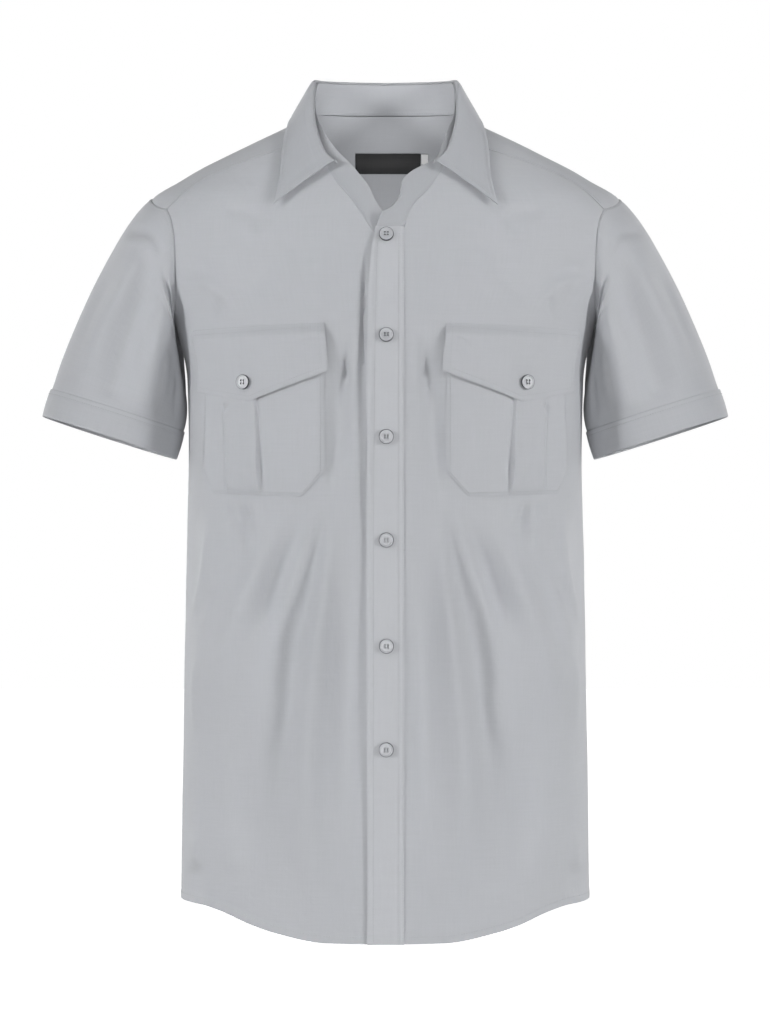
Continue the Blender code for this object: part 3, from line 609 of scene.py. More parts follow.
def coons(bottom, top, left, right):
    """Blend four edges, each a list of points, into a net; rows run from bottom to top"""
    s = np.linspace(0, 1, len(bottom))[None, :, None]
    t = np.linspace(0, 1, len(left))[:, None, None]
    ruled = (1 - t) * bottom[None] + t * top[None] + (1 - s) * left[:, None] + s * right[:, None]
    corners = ((1 - t) * ((1 - s) * bottom[0] + s * bottom[-1])
               + t * ((1 - s) * top[0] + s * top[-1]))
    return ruled - corners


def line(start, end, count):
    """Evenly spaced points of a straight line"""
    t = np.linspace(0, 1, count)[:, None]
    return (1 - t) * np.array(start, float) + t * np.array(end, float)


def path_on_body(across, height):
    """Front-view points as (turn, height) pairs"""
    return np.stack([turn_at(across, height), height], axis=-1)


def armhole_front(share):
    """Front half of the armhole: 0 at the underarm, 1 at the yoke's front seam"""
    points = path_on_body(*along(ARMHOLE, share))
    ahead = np.maximum(SIDE_SEAM_TURN - points[..., 0], 0)
    rounding = np.sqrt(fade(np.asarray(share) / 0.16))
    points[..., 0] = SIDE_SEAM_TURN - ahead * rounding
    return points


def hem_height(turn):
    """Shirt-tail hem: level at the centre, higher at the side seams"""
    side = np.abs(np.sin(np.radians(turn)))
    return HEM_CENTRE + smooth(side, HEM_RISE["side"], HEM_RISE["rise"])


def hem_swell(turn, height):
    """The doubled hem stands out a little below its stitches, and puckers at them"""
    above = height - hem_height(turn)
    fold = 0.55 * (1 - fade((above - HEM_FOLD + 1.5) / 3))
    pucker = np.sin(turn * 2.1 + 2 * np.sin(turn / 5)) * np.exp(-((above - HEM_FOLD - 1) / 5) ** 2)
    return fold + 0.22 * pucker


def grain_of(net):
    """Where the points of a (turn, height) net lie on the cut cloth, in mm"""
    return np.stack([net[..., 0] * MM_PER_DEGREE, net[..., 1]], axis=-1)


def front_net(neck, inner_edge, columns=84, low_rows=196, high_rows=72):
    """One front as (turn, height): hem to underarm, then up between neck seam and armhole"""
    side = SIDE_SEAM_TURN - SIDE_SEAM_HALF_GAP
    hem_turns = np.linspace(turn_at(inner_edge, HEM_CENTRE), side, columns)
    hem = np.stack([hem_turns, hem_height(hem_turns)], axis=-1)
    chest = line((turn_at(inner_edge, UNDERARM), UNDERARM), (side, UNDERARM), columns)
    low_heights = np.linspace(HEM_CENTRE, UNDERARM, low_rows)
    centre = np.stack([turn_at(np.full(low_rows, inner_edge), low_heights), low_heights], axis=-1)
    centre[0] = hem[0]
    low = coons(hem, chest, centre, line(hem[-1], chest[-1], low_rows))
    neck_path = np.array(along(neck, np.linspace(1, 0, 60)))
    opening = line((inner_edge, UNDERARM), (inner_edge, neck["height"][-1]), 30)[:-1].T
    edge = dict(zip(("across", "height"), np.concatenate([opening, neck_path], axis=1)))
    centre = path_on_body(*along(edge, np.linspace(0, 1, high_rows)))
    arm = armhole_front(np.linspace(0, 1, high_rows))
    arm[0] = chest[-1]
    seam = path_on_body(*along(YOKE_SEAM, np.linspace(0, 1, columns)))
    seam[-1], centre[-1] = arm[-1], seam[0]
    high = coons(chest, seam, centre, arm)
    return np.concatenate([low, high[1:]])


for side, way, neck, edge in (("left", 1, NECK_LEFT, PLACKET_RIGHT_EDGE + SEAM_GAP),
                              ("right", -1, NECK_RIGHT, -RIGHT_FRONT_UNDERLAP)):
    net = front_net(neck, edge)
    if way < 0:
        net = net[:, ::-1] * (-1, 1)
    grid = on_body(net[..., 0], net[..., 1], hem_swell(net[..., 0], net[..., 1]))
    front = cloth("cloth_front_" + side, "front_" + side, grid, grain_of(net), poplin)
    turns = way * np.linspace(abs(turn_at(edge, HEM_CENTRE)) + 0.5, 89, 240)
    heights = hem_height(turns) + HEM_FOLD
    hem_run = (on_body(turns, heights, 0.3), body_normal(turns, heights))
    heights = np.linspace(HEM_CENTRE + 40, UNDERARM - 4, 200)
    turns = np.full(200, way * 88.2)
    side_run = (on_body(turns, heights, 0.05), body_normal(turns, heights))
    stitches = sew("hem_stitches_front_" + side, hem_run, side_run)


# The back. One panel under the yoke, with the same tail as the fronts, hanging in a few long
# folds from the shoulder blades.
def armhole_back(share):
    """Back half of the armhole: 0 at the back yoke seam, 1 at the underarm"""
    front_half = armhole_front(1 - np.asarray(share))
    height = BACK_YOKE_SEAM + (front_half[..., 1] - front_half[..., 1].max()) * (
        (UNDERARM - BACK_YOKE_SEAM) / (UNDERARM - ARMHOLE["height"][-1]))
    turn = 180 - front_half[..., 0]
    corner = 180 - turn_at(BACK_YOKE_SEAM_ACROSS, BACK_YOKE_SEAM)
    return np.stack([turn + (corner - turn) * (1 - np.asarray(share)) ** 3, height], axis=-1)


def back_net(columns=150, low_rows=176, high_rows=28):
    """The back as (turn, height), from hem to the yoke's straight seam"""
    side = SIDE_SEAM_TURN + SIDE_SEAM_HALF_GAP
    turns = np.linspace(side, 360 - side, columns)
    hem = np.stack([turns, hem_height(turns)], axis=-1)
    chest = np.stack([turns, np.full(columns, UNDERARM)], axis=-1)
    low = coons(hem, chest, line(hem[0], chest[0], low_rows), line(hem[-1], chest[-1], low_rows))
    arm = armhole_back(np.linspace(1, 0, high_rows))
    arm[0] = chest[0]
    other = arm * (-1, 1) + (360, 0)
    below = np.array([0, -0.1])
    top = line(arm[-1] + below, other[-1] + below, columns)
    arm[-1], other[-1] = top[0], top[-1]
    return np.concatenate([low, coons(chest, top, arm, other)[1:]])


net = back_net()
grid = on_body(net[..., 0], net[..., 1], hem_swell(net[..., 0], net[..., 1]))
back = cloth("cloth_back", "back", grid, grain_of(net), poplin)
turns = np.linspace(91, 269, 480)
heights = hem_height(turns) + HEM_FOLD
back_hem = sew("hem_stitches_back", (on_body(turns, heights, 0.3), body_normal(turns, heights)))


# The yoke. One piece over both shoulders, from its front seams to the straight seam behind; its
# edges lie over the panels and are topstitched.
NECK_BACK = table(
    "turn height",
    (0, -28), (0.075, -14), (0.157, -6), (0.24, 0), (0.36, 3), (0.5, 5), (0.75, 7), (1, 7.5),
)
SEAM_SWELL = 0.35
YOKE_SEAM_GAP = 0.1


def armhole_over(share):
    """Over the shoulder: 0 at the yoke's front seam, 1 at the back yoke seam"""
    front_corner = armhole_front(1.0)
    back_turn = 180 - turn_at(BACK_YOKE_SEAM_ACROSS, BACK_YOKE_SEAM)
    path = table(
        "share turn height",
        (0, front_corner[0], front_corner[1]),
        (0.4, SIDE_SEAM_TURN, SHOULDER_TIP),
        (0.62, 104, -88),
        (1, back_turn, BACK_YOKE_SEAM),
    )
    turn = smooth(share, path["share"], path["turn"])
    height = smooth(share, path["share"], path["height"])
    return np.stack([turn, height], axis=-1)


def yoke_net(over=26, behind=96, rows=44):
    """The yoke as (turn, height): rows from the neck seam out, columns round behind the neck"""
    arm = armhole_over(np.linspace(0, 1, over))
    other = (arm * (-1, 1) + (360, 0))[::-1]
    outer = np.concatenate([arm, line(arm[-1], other[0], behind)[1:-1], other])
    half = (len(outer) + 1) // 2
    share = np.linspace(0, 1, half)
    neck_turn = turn_at(YOKE_SEAM["across"][0], YOKE_SEAM["height"][0])
    turn = neck_turn + (180 - neck_turn) * share
    inner = np.stack([turn, smooth(share, NECK_BACK["turn"], NECK_BACK["height"])], axis=-1)
    inner = np.concatenate([inner, (inner * (-1, 1) + (360, 0))[::-1][len(inner) * 2 - len(outer):]])
    left = path_on_body(*along(YOKE_SEAM, np.linspace(0, 1, rows))) + YOKE_SEAM_GAP * np.array([1.4, 1])
    right = left * (-1, 1) + (360, 0)
    inner[0], inner[-1] = left[0], right[0]
    outer[0], outer[-1] = left[-1], right[-1]
    return coons(inner, outer, left, right)


net = yoke_net()
from_front = np.minimum(np.arange(net.shape[1]), np.arange(net.shape[1])[::-1]) * 4.6
from_back = np.abs(net[..., 1] - BACK_YOKE_SEAM)
swell = SEAM_SWELL * np.maximum(1 - fade((from_front[None, :] - 4) / 6), 1 - fade((from_back - 4) / 5))
yoke = cloth("cloth_yoke", "yoke", on_body(net[..., 0], net[..., 1], swell), grain_of(net), poplin,
             flip=True)
seam_runs = []
share = np.linspace(0.02, 0.98, 90)
for way in (-1, 1):
    seam = path_on_body(*along(YOKE_SEAM, share)) + (1.2, 1.6)
    seam_runs.append((on_body(way * seam[:, 0], seam[:, 1], SEAM_SWELL),
                      body_normal(way * seam[:, 0], seam[:, 1])))
seam = line(armhole_over(1.0) + (1, 1.8), armhole_over(1.0) * (-1, 1) + (359, 1.8), 200)
seam_runs.append((on_body(seam[:, 0], seam[:, 1], SEAM_SWELL), body_normal(seam[:, 0], seam[:, 1])))
yoke_stitches = sew("yoke_stitches", *seam_runs)


# The placket. A folded strip down the wearer's left front, stitched along both edges, which laps
# over the right front. Its free edge lifts a little between the buttons of the chest.
LAYER_GAP = 0.4
PLACKET_TOP = -113.7
PLACKET_OUT = 1.6
PLACKET_LIFT = 2.6
PLACKET_OVERLAP = 0.7
PLACKET_STITCH_IN = 5.5
PLACKET_EDGE = table(
    "height across",
    (-830, -17), (-450, -17), (-300, -16), (-195, -14.4), (-134, -12.6), (-122, -10.8), (-112, -9),
)


def placket_points(share, height):
    """A place on the placket: share runs from its free edge to its sewn edge"""
    free_edge = smooth(height, PLACKET_EDGE["height"], PLACKET_EDGE["across"])
    across = free_edge * (1 - share) + (PLACKET_RIGHT_EDGE + PLACKET_OVERLAP) * share
    chest = fade((height + 430) / 120) * fade((-118 - height) / 20)
    lift = PLACKET_LIFT * (0.25 + 0.75 * chest) * (1 - fade((across - free_edge) / 8))
    stitched = np.exp(-((across - free_edge - PLACKET_STITCH_IN) / 1.3) ** 2)
    stitched = stitched + np.exp(-((PLACKET_RIGHT_EDGE - PLACKET_STITCH_IN - across) / 1.3) ** 2)
    pucker = 0.12 * np.sin(height / 2.3 + 2 * np.sin(height / 17)) * np.sin(np.pi * share)
    sewn_down = 0.6 * fade((across - PLACKET_RIGHT_EDGE + 3) / 3)
    out = PLACKET_OUT + lift - 0.3 * stitched + pucker - sewn_down
    return turn_at(across, height), height, out


rows, columns = 300, 25
heights = np.broadcast_to(np.linspace(HEM_CENTRE, PLACKET_TOP, rows)[:, None], (rows, columns))
share = np.broadcast_to(np.linspace(0, 1, columns)[None, :], (rows, columns))
turns, heights, out = placket_points(share, heights)
# The placket wears the lighter copy of the poplin, a painted highlight
placket = cloth("cloth_placket", "placket", on_body(turns, heights, out),
                np.stack([turns * MM_PER_DEGREE, heights], axis=-1), placket_poplin_painted_light)
placket_runs = []
for share in (0.165, 0.835, 0.965):
    turns, heights, out = placket_points(share, np.linspace(HEM_CENTRE + 3, PLACKET_TOP - 4, 340))
    placket_runs.append((on_body(turns, heights, out), body_normal(turns, heights)))
placket_stitches = sew("placket_stitches", *placket_runs)


# Two chest pockets. Patches with cut lower corners, folded in and stitched flat along their
# edges; a box pleat stands up in the middle, and its inner fold gapes a little near the bottom.
POCKET_INNER = 58.0
POCKET_OUTER = 171.0
POCKET_TOP = -217.0
POCKET_CORNER = 24.0
POCKET_OUTER_RISE = 4.0
POCKET_OUT = 2.2
POCKET_EDGE_OUT = 1.0
POCKET_FLARE = 3.0
PLEAT_RISE = 1.6
PLEAT_INNER, PLEAT_OUTER = 0.41, 0.69
PLEAT_SLANT = 0.0007
POCKET_CREASES = table(
    "x0 z0 x1 z1 x2 z2 rise width",
    (171, -296, 173, -325, 166, -362, 1.6, 4),
    (163, -290, 160, -318, 156, -350, -1.6, 6),
    (151, -330, 148, -350, 146, -370, 1.0, 3),
    (126, -285, 124, -322, 126, -366, 0.8, 6),
    (96, -300, 88, -335, 78, -362, 1.0, 9),
    (76, -285, 74, -310, 70, -338, -0.9, 7),
    (134, -345, 131, -358, 129, -371, -0.9, 3),
    (118, -350, 117, -360, 118, -371, 0.8, 3),
    (156, -291, 151, -287, 146, -282, -1.6, 2.4),
    (160, -289, 154, -284, 149, -280, 1.1, 2.6),
    (70, -352, 78, -362, 88, -368, -0.8, 3),
)
pocket_middle = (POCKET_TOP + POCKET_BOTTOM) / 2
pocket_turns = turn_at(np.array([POCKET_INNER, POCKET_OUTER]), pocket_middle)


def pocket_bottom(share):
    """Height of the pocket's lower edge, with its cut corners"""
    cut = np.interp(share, (0, 0.14, 0.84, 1), (1, 0, 0, 1))
    return POCKET_BOTTOM + POCKET_CORNER * cut + POCKET_OUTER_RISE * share


def pocket_points(share, up):
    """A place on the wearer's left pocket: turn, height and how far it stands off the front"""
    turn = pocket_turns[0] + (pocket_turns[1] - pocket_turns[0]) * share
    turn = turn + POCKET_FLARE * share * (1 - up) ** 1.5
    bottom = pocket_bottom(share)
    height = bottom + (POCKET_TOP - bottom) * up
    across = body(turn, height)[..., 0]
    from_edge = np.minimum(np.minimum(share, 1 - share) * 122, (height - bottom) * 0.9)
    out = POCKET_EDGE_OUT + (POCKET_OUT - POCKET_EDGE_OUT) * fade(from_edge / 4)
    slant = PLEAT_SLANT * (height - POCKET_BOTTOM)
    inner_fold, outer_fold = PLEAT_INNER + slant, PLEAT_OUTER + slant
    flat_end = fade((height - bottom) / 9)
    gape = 3.4 * np.exp(-((height + 342) / 20) ** 2) * fade((share - inner_fold) / 0.015)
    gape = gape * (1 - fade((share - inner_fold) / 0.16))
    on_pleat = fade((share - inner_fold) / 0.012) * fade((outer_fold - share) / 0.012)
    out = out + flat_end * (PLEAT_RISE * on_pleat + gape * on_pleat)
    valley = np.exp(-((share - inner_fold + 0.008) / 0.011) ** 2)
    out = out - valley * 1.1 * flat_end
    valley = np.exp(-((share - outer_fold - 0.008) / 0.011) ** 2)
    out = out - valley * 0.7 * flat_end
    out = out + crease_rise(POCKET_CREASES, across, height) * fade(from_edge / 7)
    return turn, height, np.maximum(out, 0.92)


pocket_shares = np.unique(np.concatenate([np.linspace(0, 1, 56), np.linspace(0.39, 0.50, 26),
                                          np.linspace(0.67, 0.78, 22)]))
share, up = np.meshgrid(pocket_shares, np.linspace(0, 1, 66))
turns, heights, out = pocket_points(share, up)
edge_run = np.concatenate([
    np.stack([np.full(80, 0.022), np.linspace(0.98, 0.03, 80)], axis=-1),
    np.stack([np.linspace(0.022, 0.978, 90), np.full(90, 0.022)], axis=-1),
    np.stack([np.full(80, 0.978), np.linspace(0.03, 0.98, 80)], axis=-1),
])
pleat_run = np.stack([np.linspace(0.718, 0.775, 60), np.linspace(0.03, 0.55, 60)], axis=-1)
for side, way in (("left", 1), ("right", -1)):
    turned = slice(None, None, way)
    pocket = cloth("cloth_pocket_" + side, "pocket_" + side,
                   on_body(way * turns, heights, out)[:, turned],
                   np.stack([way * turns * MM_PER_DEGREE, heights], axis=-1)[:, turned], poplin)
    runs = []
    for run in (edge_run, pleat_run):
        at_turn, at_height, at_out = pocket_points(run[:, 0], run[:, 1])
        runs.append((on_body(way * at_turn, at_height, at_out), body_normal(way * at_turn, at_height)))
    sew("pocket_stitches_" + side, *runs)


# Two pointed flaps. Double cloth, sewn on above the pocket, turned down over it and topstitched
# round the edge, each closed by a button.
FLAP_OUT = POCKET_OUT + PLEAT_RISE + 1.2 + LAYER_GAP
FLAP_TOP_OUT = 1.0
FLAP_OVERHANG = 6.0
FLAP_DROPS = (47.0, 73.0, 60.0)
FLAP_SHARES = (-0.02, 0.5, 1.04)
FLAP_STITCH_IN = 5.0
FLAP_CREASES = table(
    "x0 z0 x1 z1 x2 z2 rise width",
    (68, -222, 75, -228, 84, -235, 0.5, 2.2),
    (64, -218, 72, -221, 84, -224, -0.5, 2.4),
    (88, -216, 93, -222, 96, -232, 0.4, 2.6),
    (150, -214, 140, -232, 139, -256, 1.3, 9),
    (171, -216, 166, -228, 168, -246, -1.2, 7),
    (122, -216, 112, -240, 104, -262, -0.7, 9),
    (144, -268, 136, -273, 126, -277, 0.6, 4),
)
flap_middle = FLAP_TOP - FLAP_DROPS[1] / 2
flap_turns = turn_at(np.array([POCKET_INNER, POCKET_OUTER + FLAP_OVERHANG]), flap_middle)


def flap_points(share, down):
    """A place on the wearer's left flap: down is 0 at its sewn top and 1 at its edge"""
    turn = flap_turns[0] + (flap_turns[1] - flap_turns[0]) * share
    drop = np.interp(share, FLAP_SHARES, FLAP_DROPS)
    height = FLAP_TOP - POCKET_OUTER_RISE * share - drop * down
    across = body(turn, height)[..., 0]
    out = FLAP_TOP_OUT + (FLAP_OUT - FLAP_TOP_OUT) * fade(down * drop / 13)
    from_edge = np.minimum(np.minimum(share - FLAP_SHARES[0], FLAP_SHARES[2] - share) * 122,
                           (1 - down) * drop)
    rounded = 0.5 * np.exp(-from_edge / 0.9)
    groove = 0.3 * np.exp(-((from_edge - FLAP_STITCH_IN) / 1.1) ** 2) * fade(down * drop / 13)
    lift = 0.9 * fade((down - 0.5) / 0.5) * (1 - np.exp(-((share - 0.62) / 0.18) ** 2))
    pulled = 0.9 * np.exp(-(((across - 132.5) / 15) ** 2 + ((height + 262.5) / 13) ** 2))
    out = out - rounded - groove + lift - pulled
    return turn, height, out + crease_rise(FLAP_CREASES, across, height)


share, down = np.meshgrid(np.linspace(FLAP_SHARES[0], FLAP_SHARES[2], 72), np.linspace(1, 0, 46))
turns, heights, out = flap_points(share, down)
stitch_share = FLAP_STITCH_IN / 122
sides = np.linspace(0.1, 1 - FLAP_STITCH_IN / 50, 50)
flap_run = np.concatenate([
    np.stack([np.full(50, FLAP_SHARES[0] + stitch_share), sides], axis=-1),
    np.stack([np.linspace(FLAP_SHARES[0] + stitch_share, FLAP_SHARES[2] - stitch_share, 120),
              1 - FLAP_STITCH_IN / np.interp(np.linspace(-0.02, 1.04, 120), FLAP_SHARES, FLAP_DROPS)],
             axis=-1),
    np.stack([np.full(50, FLAP_SHARES[2] - stitch_share), sides[::-1]], axis=-1),
])
top_runs = [np.stack([np.linspace(0, 1.02, 100), np.full(100, down)], axis=-1) for down in (0.03, 0.1)]
for side, way in (("left", 1), ("right", -1)):
    turned = slice(None, None, way)
    flap = cloth("cloth_flap_" + side, "flap_" + side, on_body(way * turns, heights, out)[:, turned],
                 np.stack([way * turns * MM_PER_DEGREE, heights], axis=-1)[:, turned], poplin,
                 wall=1.0)
    runs = []
    for run in (flap_run, *top_runs):
        at_turn, at_height, at_out = flap_points(run[:, 0], run[:, 1])
        runs.append((on_body(way * at_turn, at_height, at_out), body_normal(way * at_turn, at_height)))
    sew("flap_stitches_" + side, *runs)


# The collar stand. A stiffened band sewn round the neck, whose left end laps over the right one
# at the top of the placket.
STAND_LIFT = 0.6
NECK_BEHIND_SHARE = 0.46
STAND_FOOT_LEFT = table(
    "across height",
    (66, -28), (58, -48), (46, -70), (38, -80), (28, -90.5), (22, -101), (19.6, -109), (17, -113.6),
    (6, -114.5), (-9, -114.5),
)
STAND_TOP = table(
    "x y z",
    (0, 53, 38), (36, 47, 38), (57, 30, 37), (67, 8, 35), (69, -8, 21), (67, -21, 1), (59, -35, -18),
    (48, -46, -34.5), (34, -56, -49.5), (25.5, -63, -60), (16, -71, -73), (9.5, -78, -87), (3, -84, -98),
)
STAND_TOP_LEFT_END = table(
    "x y z",
    (49, -48, -43.5), (34, -57, -52.5), (23.3, -65, -59.5), (16.5, -72, -68), (14.5, -80, -82),
    (8, -87.5, -92.5), (-3, -92.5, -99.5),
)


def neck_seam(share, front):
    """Neck seam points from the centre back (0) to the front end (1), wearer's right half"""
    share = np.asarray(share, float)
    at_back = np.clip(1 - share / NECK_BEHIND_SHARE, 0, 1)
    neck_turn = turn_at(YOKE_SEAM["across"][0], YOKE_SEAM["height"][0])
    turn = neck_turn + (180 - neck_turn) * at_back
    behind = np.stack([turn, smooth(at_back, NECK_BACK["turn"], NECK_BACK["height"])], axis=-1)
    in_front = np.clip((share - NECK_BEHIND_SHARE) / (1 - NECK_BEHIND_SHARE), 0, 1)
    return np.where((share < NECK_BEHIND_SHARE)[:, None], behind, path_on_body(*along(front, in_front)))


def stand_side(foot_path, top_path, rows=18):
    """Half of the collar stand, from the centre back to one front end"""
    share = np.concatenate([np.linspace(0, 0.8, 56), np.linspace(0.8, 1, 30)[1:]])
    seam = neck_seam(share, foot_path)
    on_placket = PLACKET_OUT * fade((share - 0.8) / 0.12) * (foot_path is STAND_FOOT_LEFT)
    foot = on_body(seam[:, 0], seam[:, 1], on_placket)
    top = np.array(along(top_path, share)).T
    climb = (top - foot) / np.linalg.norm(top - foot, axis=1, keepdims=True)
    t = np.linspace(0, 1, rows)[:, None, None]
    return (1 - t) * (foot + STAND_LIFT * climb) + t * top


def net_normals(grid):
    """Normals of a net of points, outward for a net whose rows climb and columns run to its left"""
    up = np.gradient(grid, axis=0)
    across = np.gradient(grid, axis=1)
    normal = np.cross(up, across)
    return normal / (np.linalg.norm(normal, axis=-1, keepdims=True) + 1e-9)


right_foot = {key: values[:-1] for key, values in NECK_RIGHT.items()}
left_top = {key: np.concatenate([STAND_TOP[key][:7], STAND_TOP_LEFT_END[key]]) for key in STAND_TOP}
right_half = stand_side(right_foot, STAND_TOP) * np.array([-1, 1, 1])
left_half = stand_side(STAND_FOOT_LEFT, left_top)
grid = np.concatenate([right_half[:, ::-1], left_half[:, 1:]], axis=1)
stand_normals = net_normals(grid)
stand_length = np.concatenate(([0], np.cumsum(np.linalg.norm(np.diff(grid[9], axis=0), axis=1))))
stand_height = np.linspace(0, 36, grid.shape[0])
stand_grain = np.stack(np.meshgrid(stand_length, stand_height), axis=-1)
dip = np.exp(-((np.arange(grid.shape[0]) - 2.0) / 0.7) ** 2) * 0.25
grid = grid - dip[:, None, None] * stand_normals
# The stand wears the darker copy of the poplin, a painted shade
stand = cloth("cloth_collar_stand", "collar_stand", grid, stand_grain, collar_poplin_painted_shade,
              wall=1.6, flip=True)
stand_runs = [(grid[2], stand_normals[2]), (grid[1] - 1.7 * stand_normals[1], -stand_normals[1])]
sew("collar_stand_stitches", *stand_runs)


# The collar leaf. Stiffened double cloth that rises inside the stand's top edge, folds over and
# falls to a stitched edge with two long points.
LEAF_TUCK = 3.9
LEAF_ROOT_DROP = 1.7
LEAF_STITCH_IN = 5.5
LEAF_CREST = table(
    "x y z",
    (0, 57.5, 40.5), (38, 51, 40.5), (61, 34, 39.5), (70.5, 8, 37.5), (73, -12, 22), (72, -28, 1),
    (67.5, -43, -20), (60, -55, -38), (49.5, -63, -48),
)
LEAF_EDGE = table(
    "x y z",
    (0, 76, -13), (42, 70, -12), (76, 47, -5), (93, 9, -3), (96, -22, -13), (99, -44, -36),
    (100, -62, -57), (103, -74, -76), (106.5, -83, -91),
)
LEAF_FALLS = (0.12, 0.3, 0.55, 0.8, 1.0)


def leaf_net(columns=80, rows=46):
    """Collar leaf: from inside its crest, over it and down to the outer edge"""
    share = np.linspace(0, 1, columns)
    crest = np.array(along(LEAF_CREST, share)).T
    edge = np.array(along(LEAF_EDGE, share)).T
    level = (edge - crest) * (1, 1, 0)
    level = level / np.linalg.norm(level, axis=1, keepdims=True)
    up = np.array([0, 0, 1])
    guides = [crest - LEAF_TUCK * level - LEAF_ROOT_DROP * up, crest - 1.2 * level + 0.6 * up,
              crest + level - 0.4 * up]
    for fall in LEAF_FALLS:
        guides.append(crest + 1.4 * level + fall * (edge - crest) + 0.8 * np.sin(np.pi * fall) * level)
    guides = np.array(guides)
    place = np.concatenate([np.linspace(0, 3, 17), np.linspace(3, 7, rows - 16)[1:]])
    knots = np.arange(8.0)
    left = np.empty((rows, columns, 3))
    for column in range(columns):
        for axis in range(3):
            left[:, column, axis] = smooth(place, knots, guides[:, column, axis])
    return np.concatenate([(left[:, ::-1] * np.array([-1, 1, 1])), left[:, 1:]], axis=1)


grid = leaf_net()
leaf_normals = -net_normals(grid)
leaf_middle = grid[30]
leaf_length = np.concatenate(([0], np.cumsum(np.linalg.norm(np.diff(leaf_middle, axis=0), axis=1))))
leaf_drop = np.concatenate(([0], np.cumsum(np.linalg.norm(np.diff(grid[:, 20], axis=0), axis=1))))
leaf_grain = np.stack(np.meshgrid(leaf_length, -leaf_drop), axis=-1)
from_edge = np.linalg.norm(grid - grid[-1], axis=-1)
from_end = np.minimum(np.linalg.norm(grid - grid[:, :1], axis=-1),
                      np.linalg.norm(grid - grid[:, -1:], axis=-1))
inward = np.minimum(from_edge, from_end)
relief = 0.45 * np.exp(-((inward - LEAF_STITCH_IN) / 1.0) ** 2) + 0.5 * np.exp(-inward / 0.9)
wave = 0.35 * np.sin(leaf_length / 21 + 0.7)[None, :] * fade(np.arange(len(grid)) / len(grid))[:, None]
relief = np.where(np.arange(len(grid))[:, None] > 18, relief - wave, 0)
grid = grid - relief[..., None] * leaf_normals
# The leaf wears the darker copy of the poplin, a painted shade
leaf = cloth("cloth_collar_leaf", "collar_leaf", grid, leaf_grain, collar_poplin_painted_shade,
             wall=CLOTH)


def inset_run(lines, inset):
    """Places and normals a distance in from the start of each line"""
    found = []
    for each in lines:
        length = np.concatenate(([0], np.cumsum(np.linalg.norm(np.diff(each[:, :3], axis=0), axis=1))))
        found.append([np.interp(inset, length, each[:, axis]) for axis in range(6)])
    found = np.array(found)
    return found[:, :3], found[:, 3:]


both = np.concatenate([grid, leaf_normals], axis=-1)
long_run = both[::-1, 3:-3].transpose(1, 0, 2)
sew("stitches_collar_leaf", inset_run(long_run, LEAF_STITCH_IN),
    inset_run(both[20:-3], LEAF_STITCH_IN), inset_run(both[20:-3, ::-1], LEAF_STITCH_IN))


# Two sleeves. Each is one piece set into its armhole with a little ease, which puckers along the
# double-stitched seam, and falls in soft folds to the cuff.
FRONT_STEPS, OVER_STEPS, BACK_STEPS = 48, 26, 40
SLEEVE_GIRTH = 400.0
SLEEVE_LENGTH = 205.0
SLEEVE_SEAM = 0.1
CUFF_CENTRE = np.array([262.2, -4.0, -288.0])
CUFF_HALF_WIDTH = 67.5
CUFF_HALF_DEPTH = 55.0
CUFF_DOWN = np.array([0.304, -0.03, -0.952])
CUFF_OUTWARD = np.array([0.952, 0.0, 0.304])
CUFF_FORWARD = np.array([0.0, -1.0, 0.03])
SLEEVE_LEAVE, SLEEVE_LEAVE_TOP = 70.0, 25.0
SLEEVE_ARRIVE, SLEEVE_ARRIVE_TOP = 130.0, 85.0
# Place round the sleeve (0 underarm, 0.25 front), from, to, rise, width as a share of the girth
SLEEVE_FOLDS = table(
    "place start end rise width",
    (0.27, 0.25, 1.1, -4, 0.035), (0.34, 0.2, 1.0, 3.5, 0.04), (0.19, 0.3, 1.2, 3, 0.035),
    (0.71, 0.2, 1.0, -4, 0.04), (0.63, 0.3, 1.1, 3.5, 0.045),
)
# In mm round the sleeve and up from the cuff
SLEEVE_CREASES = table(
    "x0 z0 x1 z1 x2 z2 rise width",
    (30, 150, 62, 160, 96, 150, -2.6, 6),
    (28, 138, 60, 148, 100, 132, 2.2, 6),
    (70, 128, 84, 96, 92, 40, -1.8, 7),
    (108, 172, 140, 160, 176, 150, -1.3, 8),
    (112, 158, 142, 148, 172, 130, 1.2, 8),
    (128, 140, 132, 96, 128, 30, 1.6, 8),
    (150, 120, 156, 80, 152, 20, -1.2, 7),
    (52, 96, 56, 60, 58, 10, 1.6, 6),
    (30, 80, 34, 50, 36, 8, -1.6, 6),
    (300, 168, 272, 156, 236, 158, -1.8, 7),
    (330, 150, 296, 140, 262, 142, 1.6, 7),
    (268, 120, 262, 80, 264, 24, -1.8, 8),
    (330, 110, 322, 60, 318, 14, 1.8, 7),
    (222, 130, 226, 80, 222, 30, 1.2, 9),
)


def armhole_loop():
    """Closed armhole, wearer's left, from the underarm up the front; and each point's share"""
    parts = (armhole_front(np.linspace(0, 1, FRONT_STEPS + 1))[:-1],
             armhole_over(np.linspace(0, 1, OVER_STEPS + 1))[:-1],
             armhole_back(np.linspace(0, 1, BACK_STEPS + 1))[:-1])
    share = np.concatenate([np.linspace(0, 0.36, FRONT_STEPS + 1)[:-1],
                            np.linspace(0.36, 0.66, OVER_STEPS + 1)[:-1],
                            np.linspace(0.66, 1, BACK_STEPS + 1)[:-1]])
    return np.concatenate(parts), share


def cuff_ring(share, drop, out):
    """A ring of the sleeve end: drop runs down the arm, out grows the ring"""
    angle = 2 * np.pi * np.asarray(share)
    ring = (-((CUFF_HALF_WIDTH + out) * np.cos(angle))[:, None] * CUFF_OUTWARD
            + ((CUFF_HALF_DEPTH + out) * np.sin(angle))[:, None] * CUFF_FORWARD)
    return CUFF_CENTRE + ring + drop * CUFF_DOWN


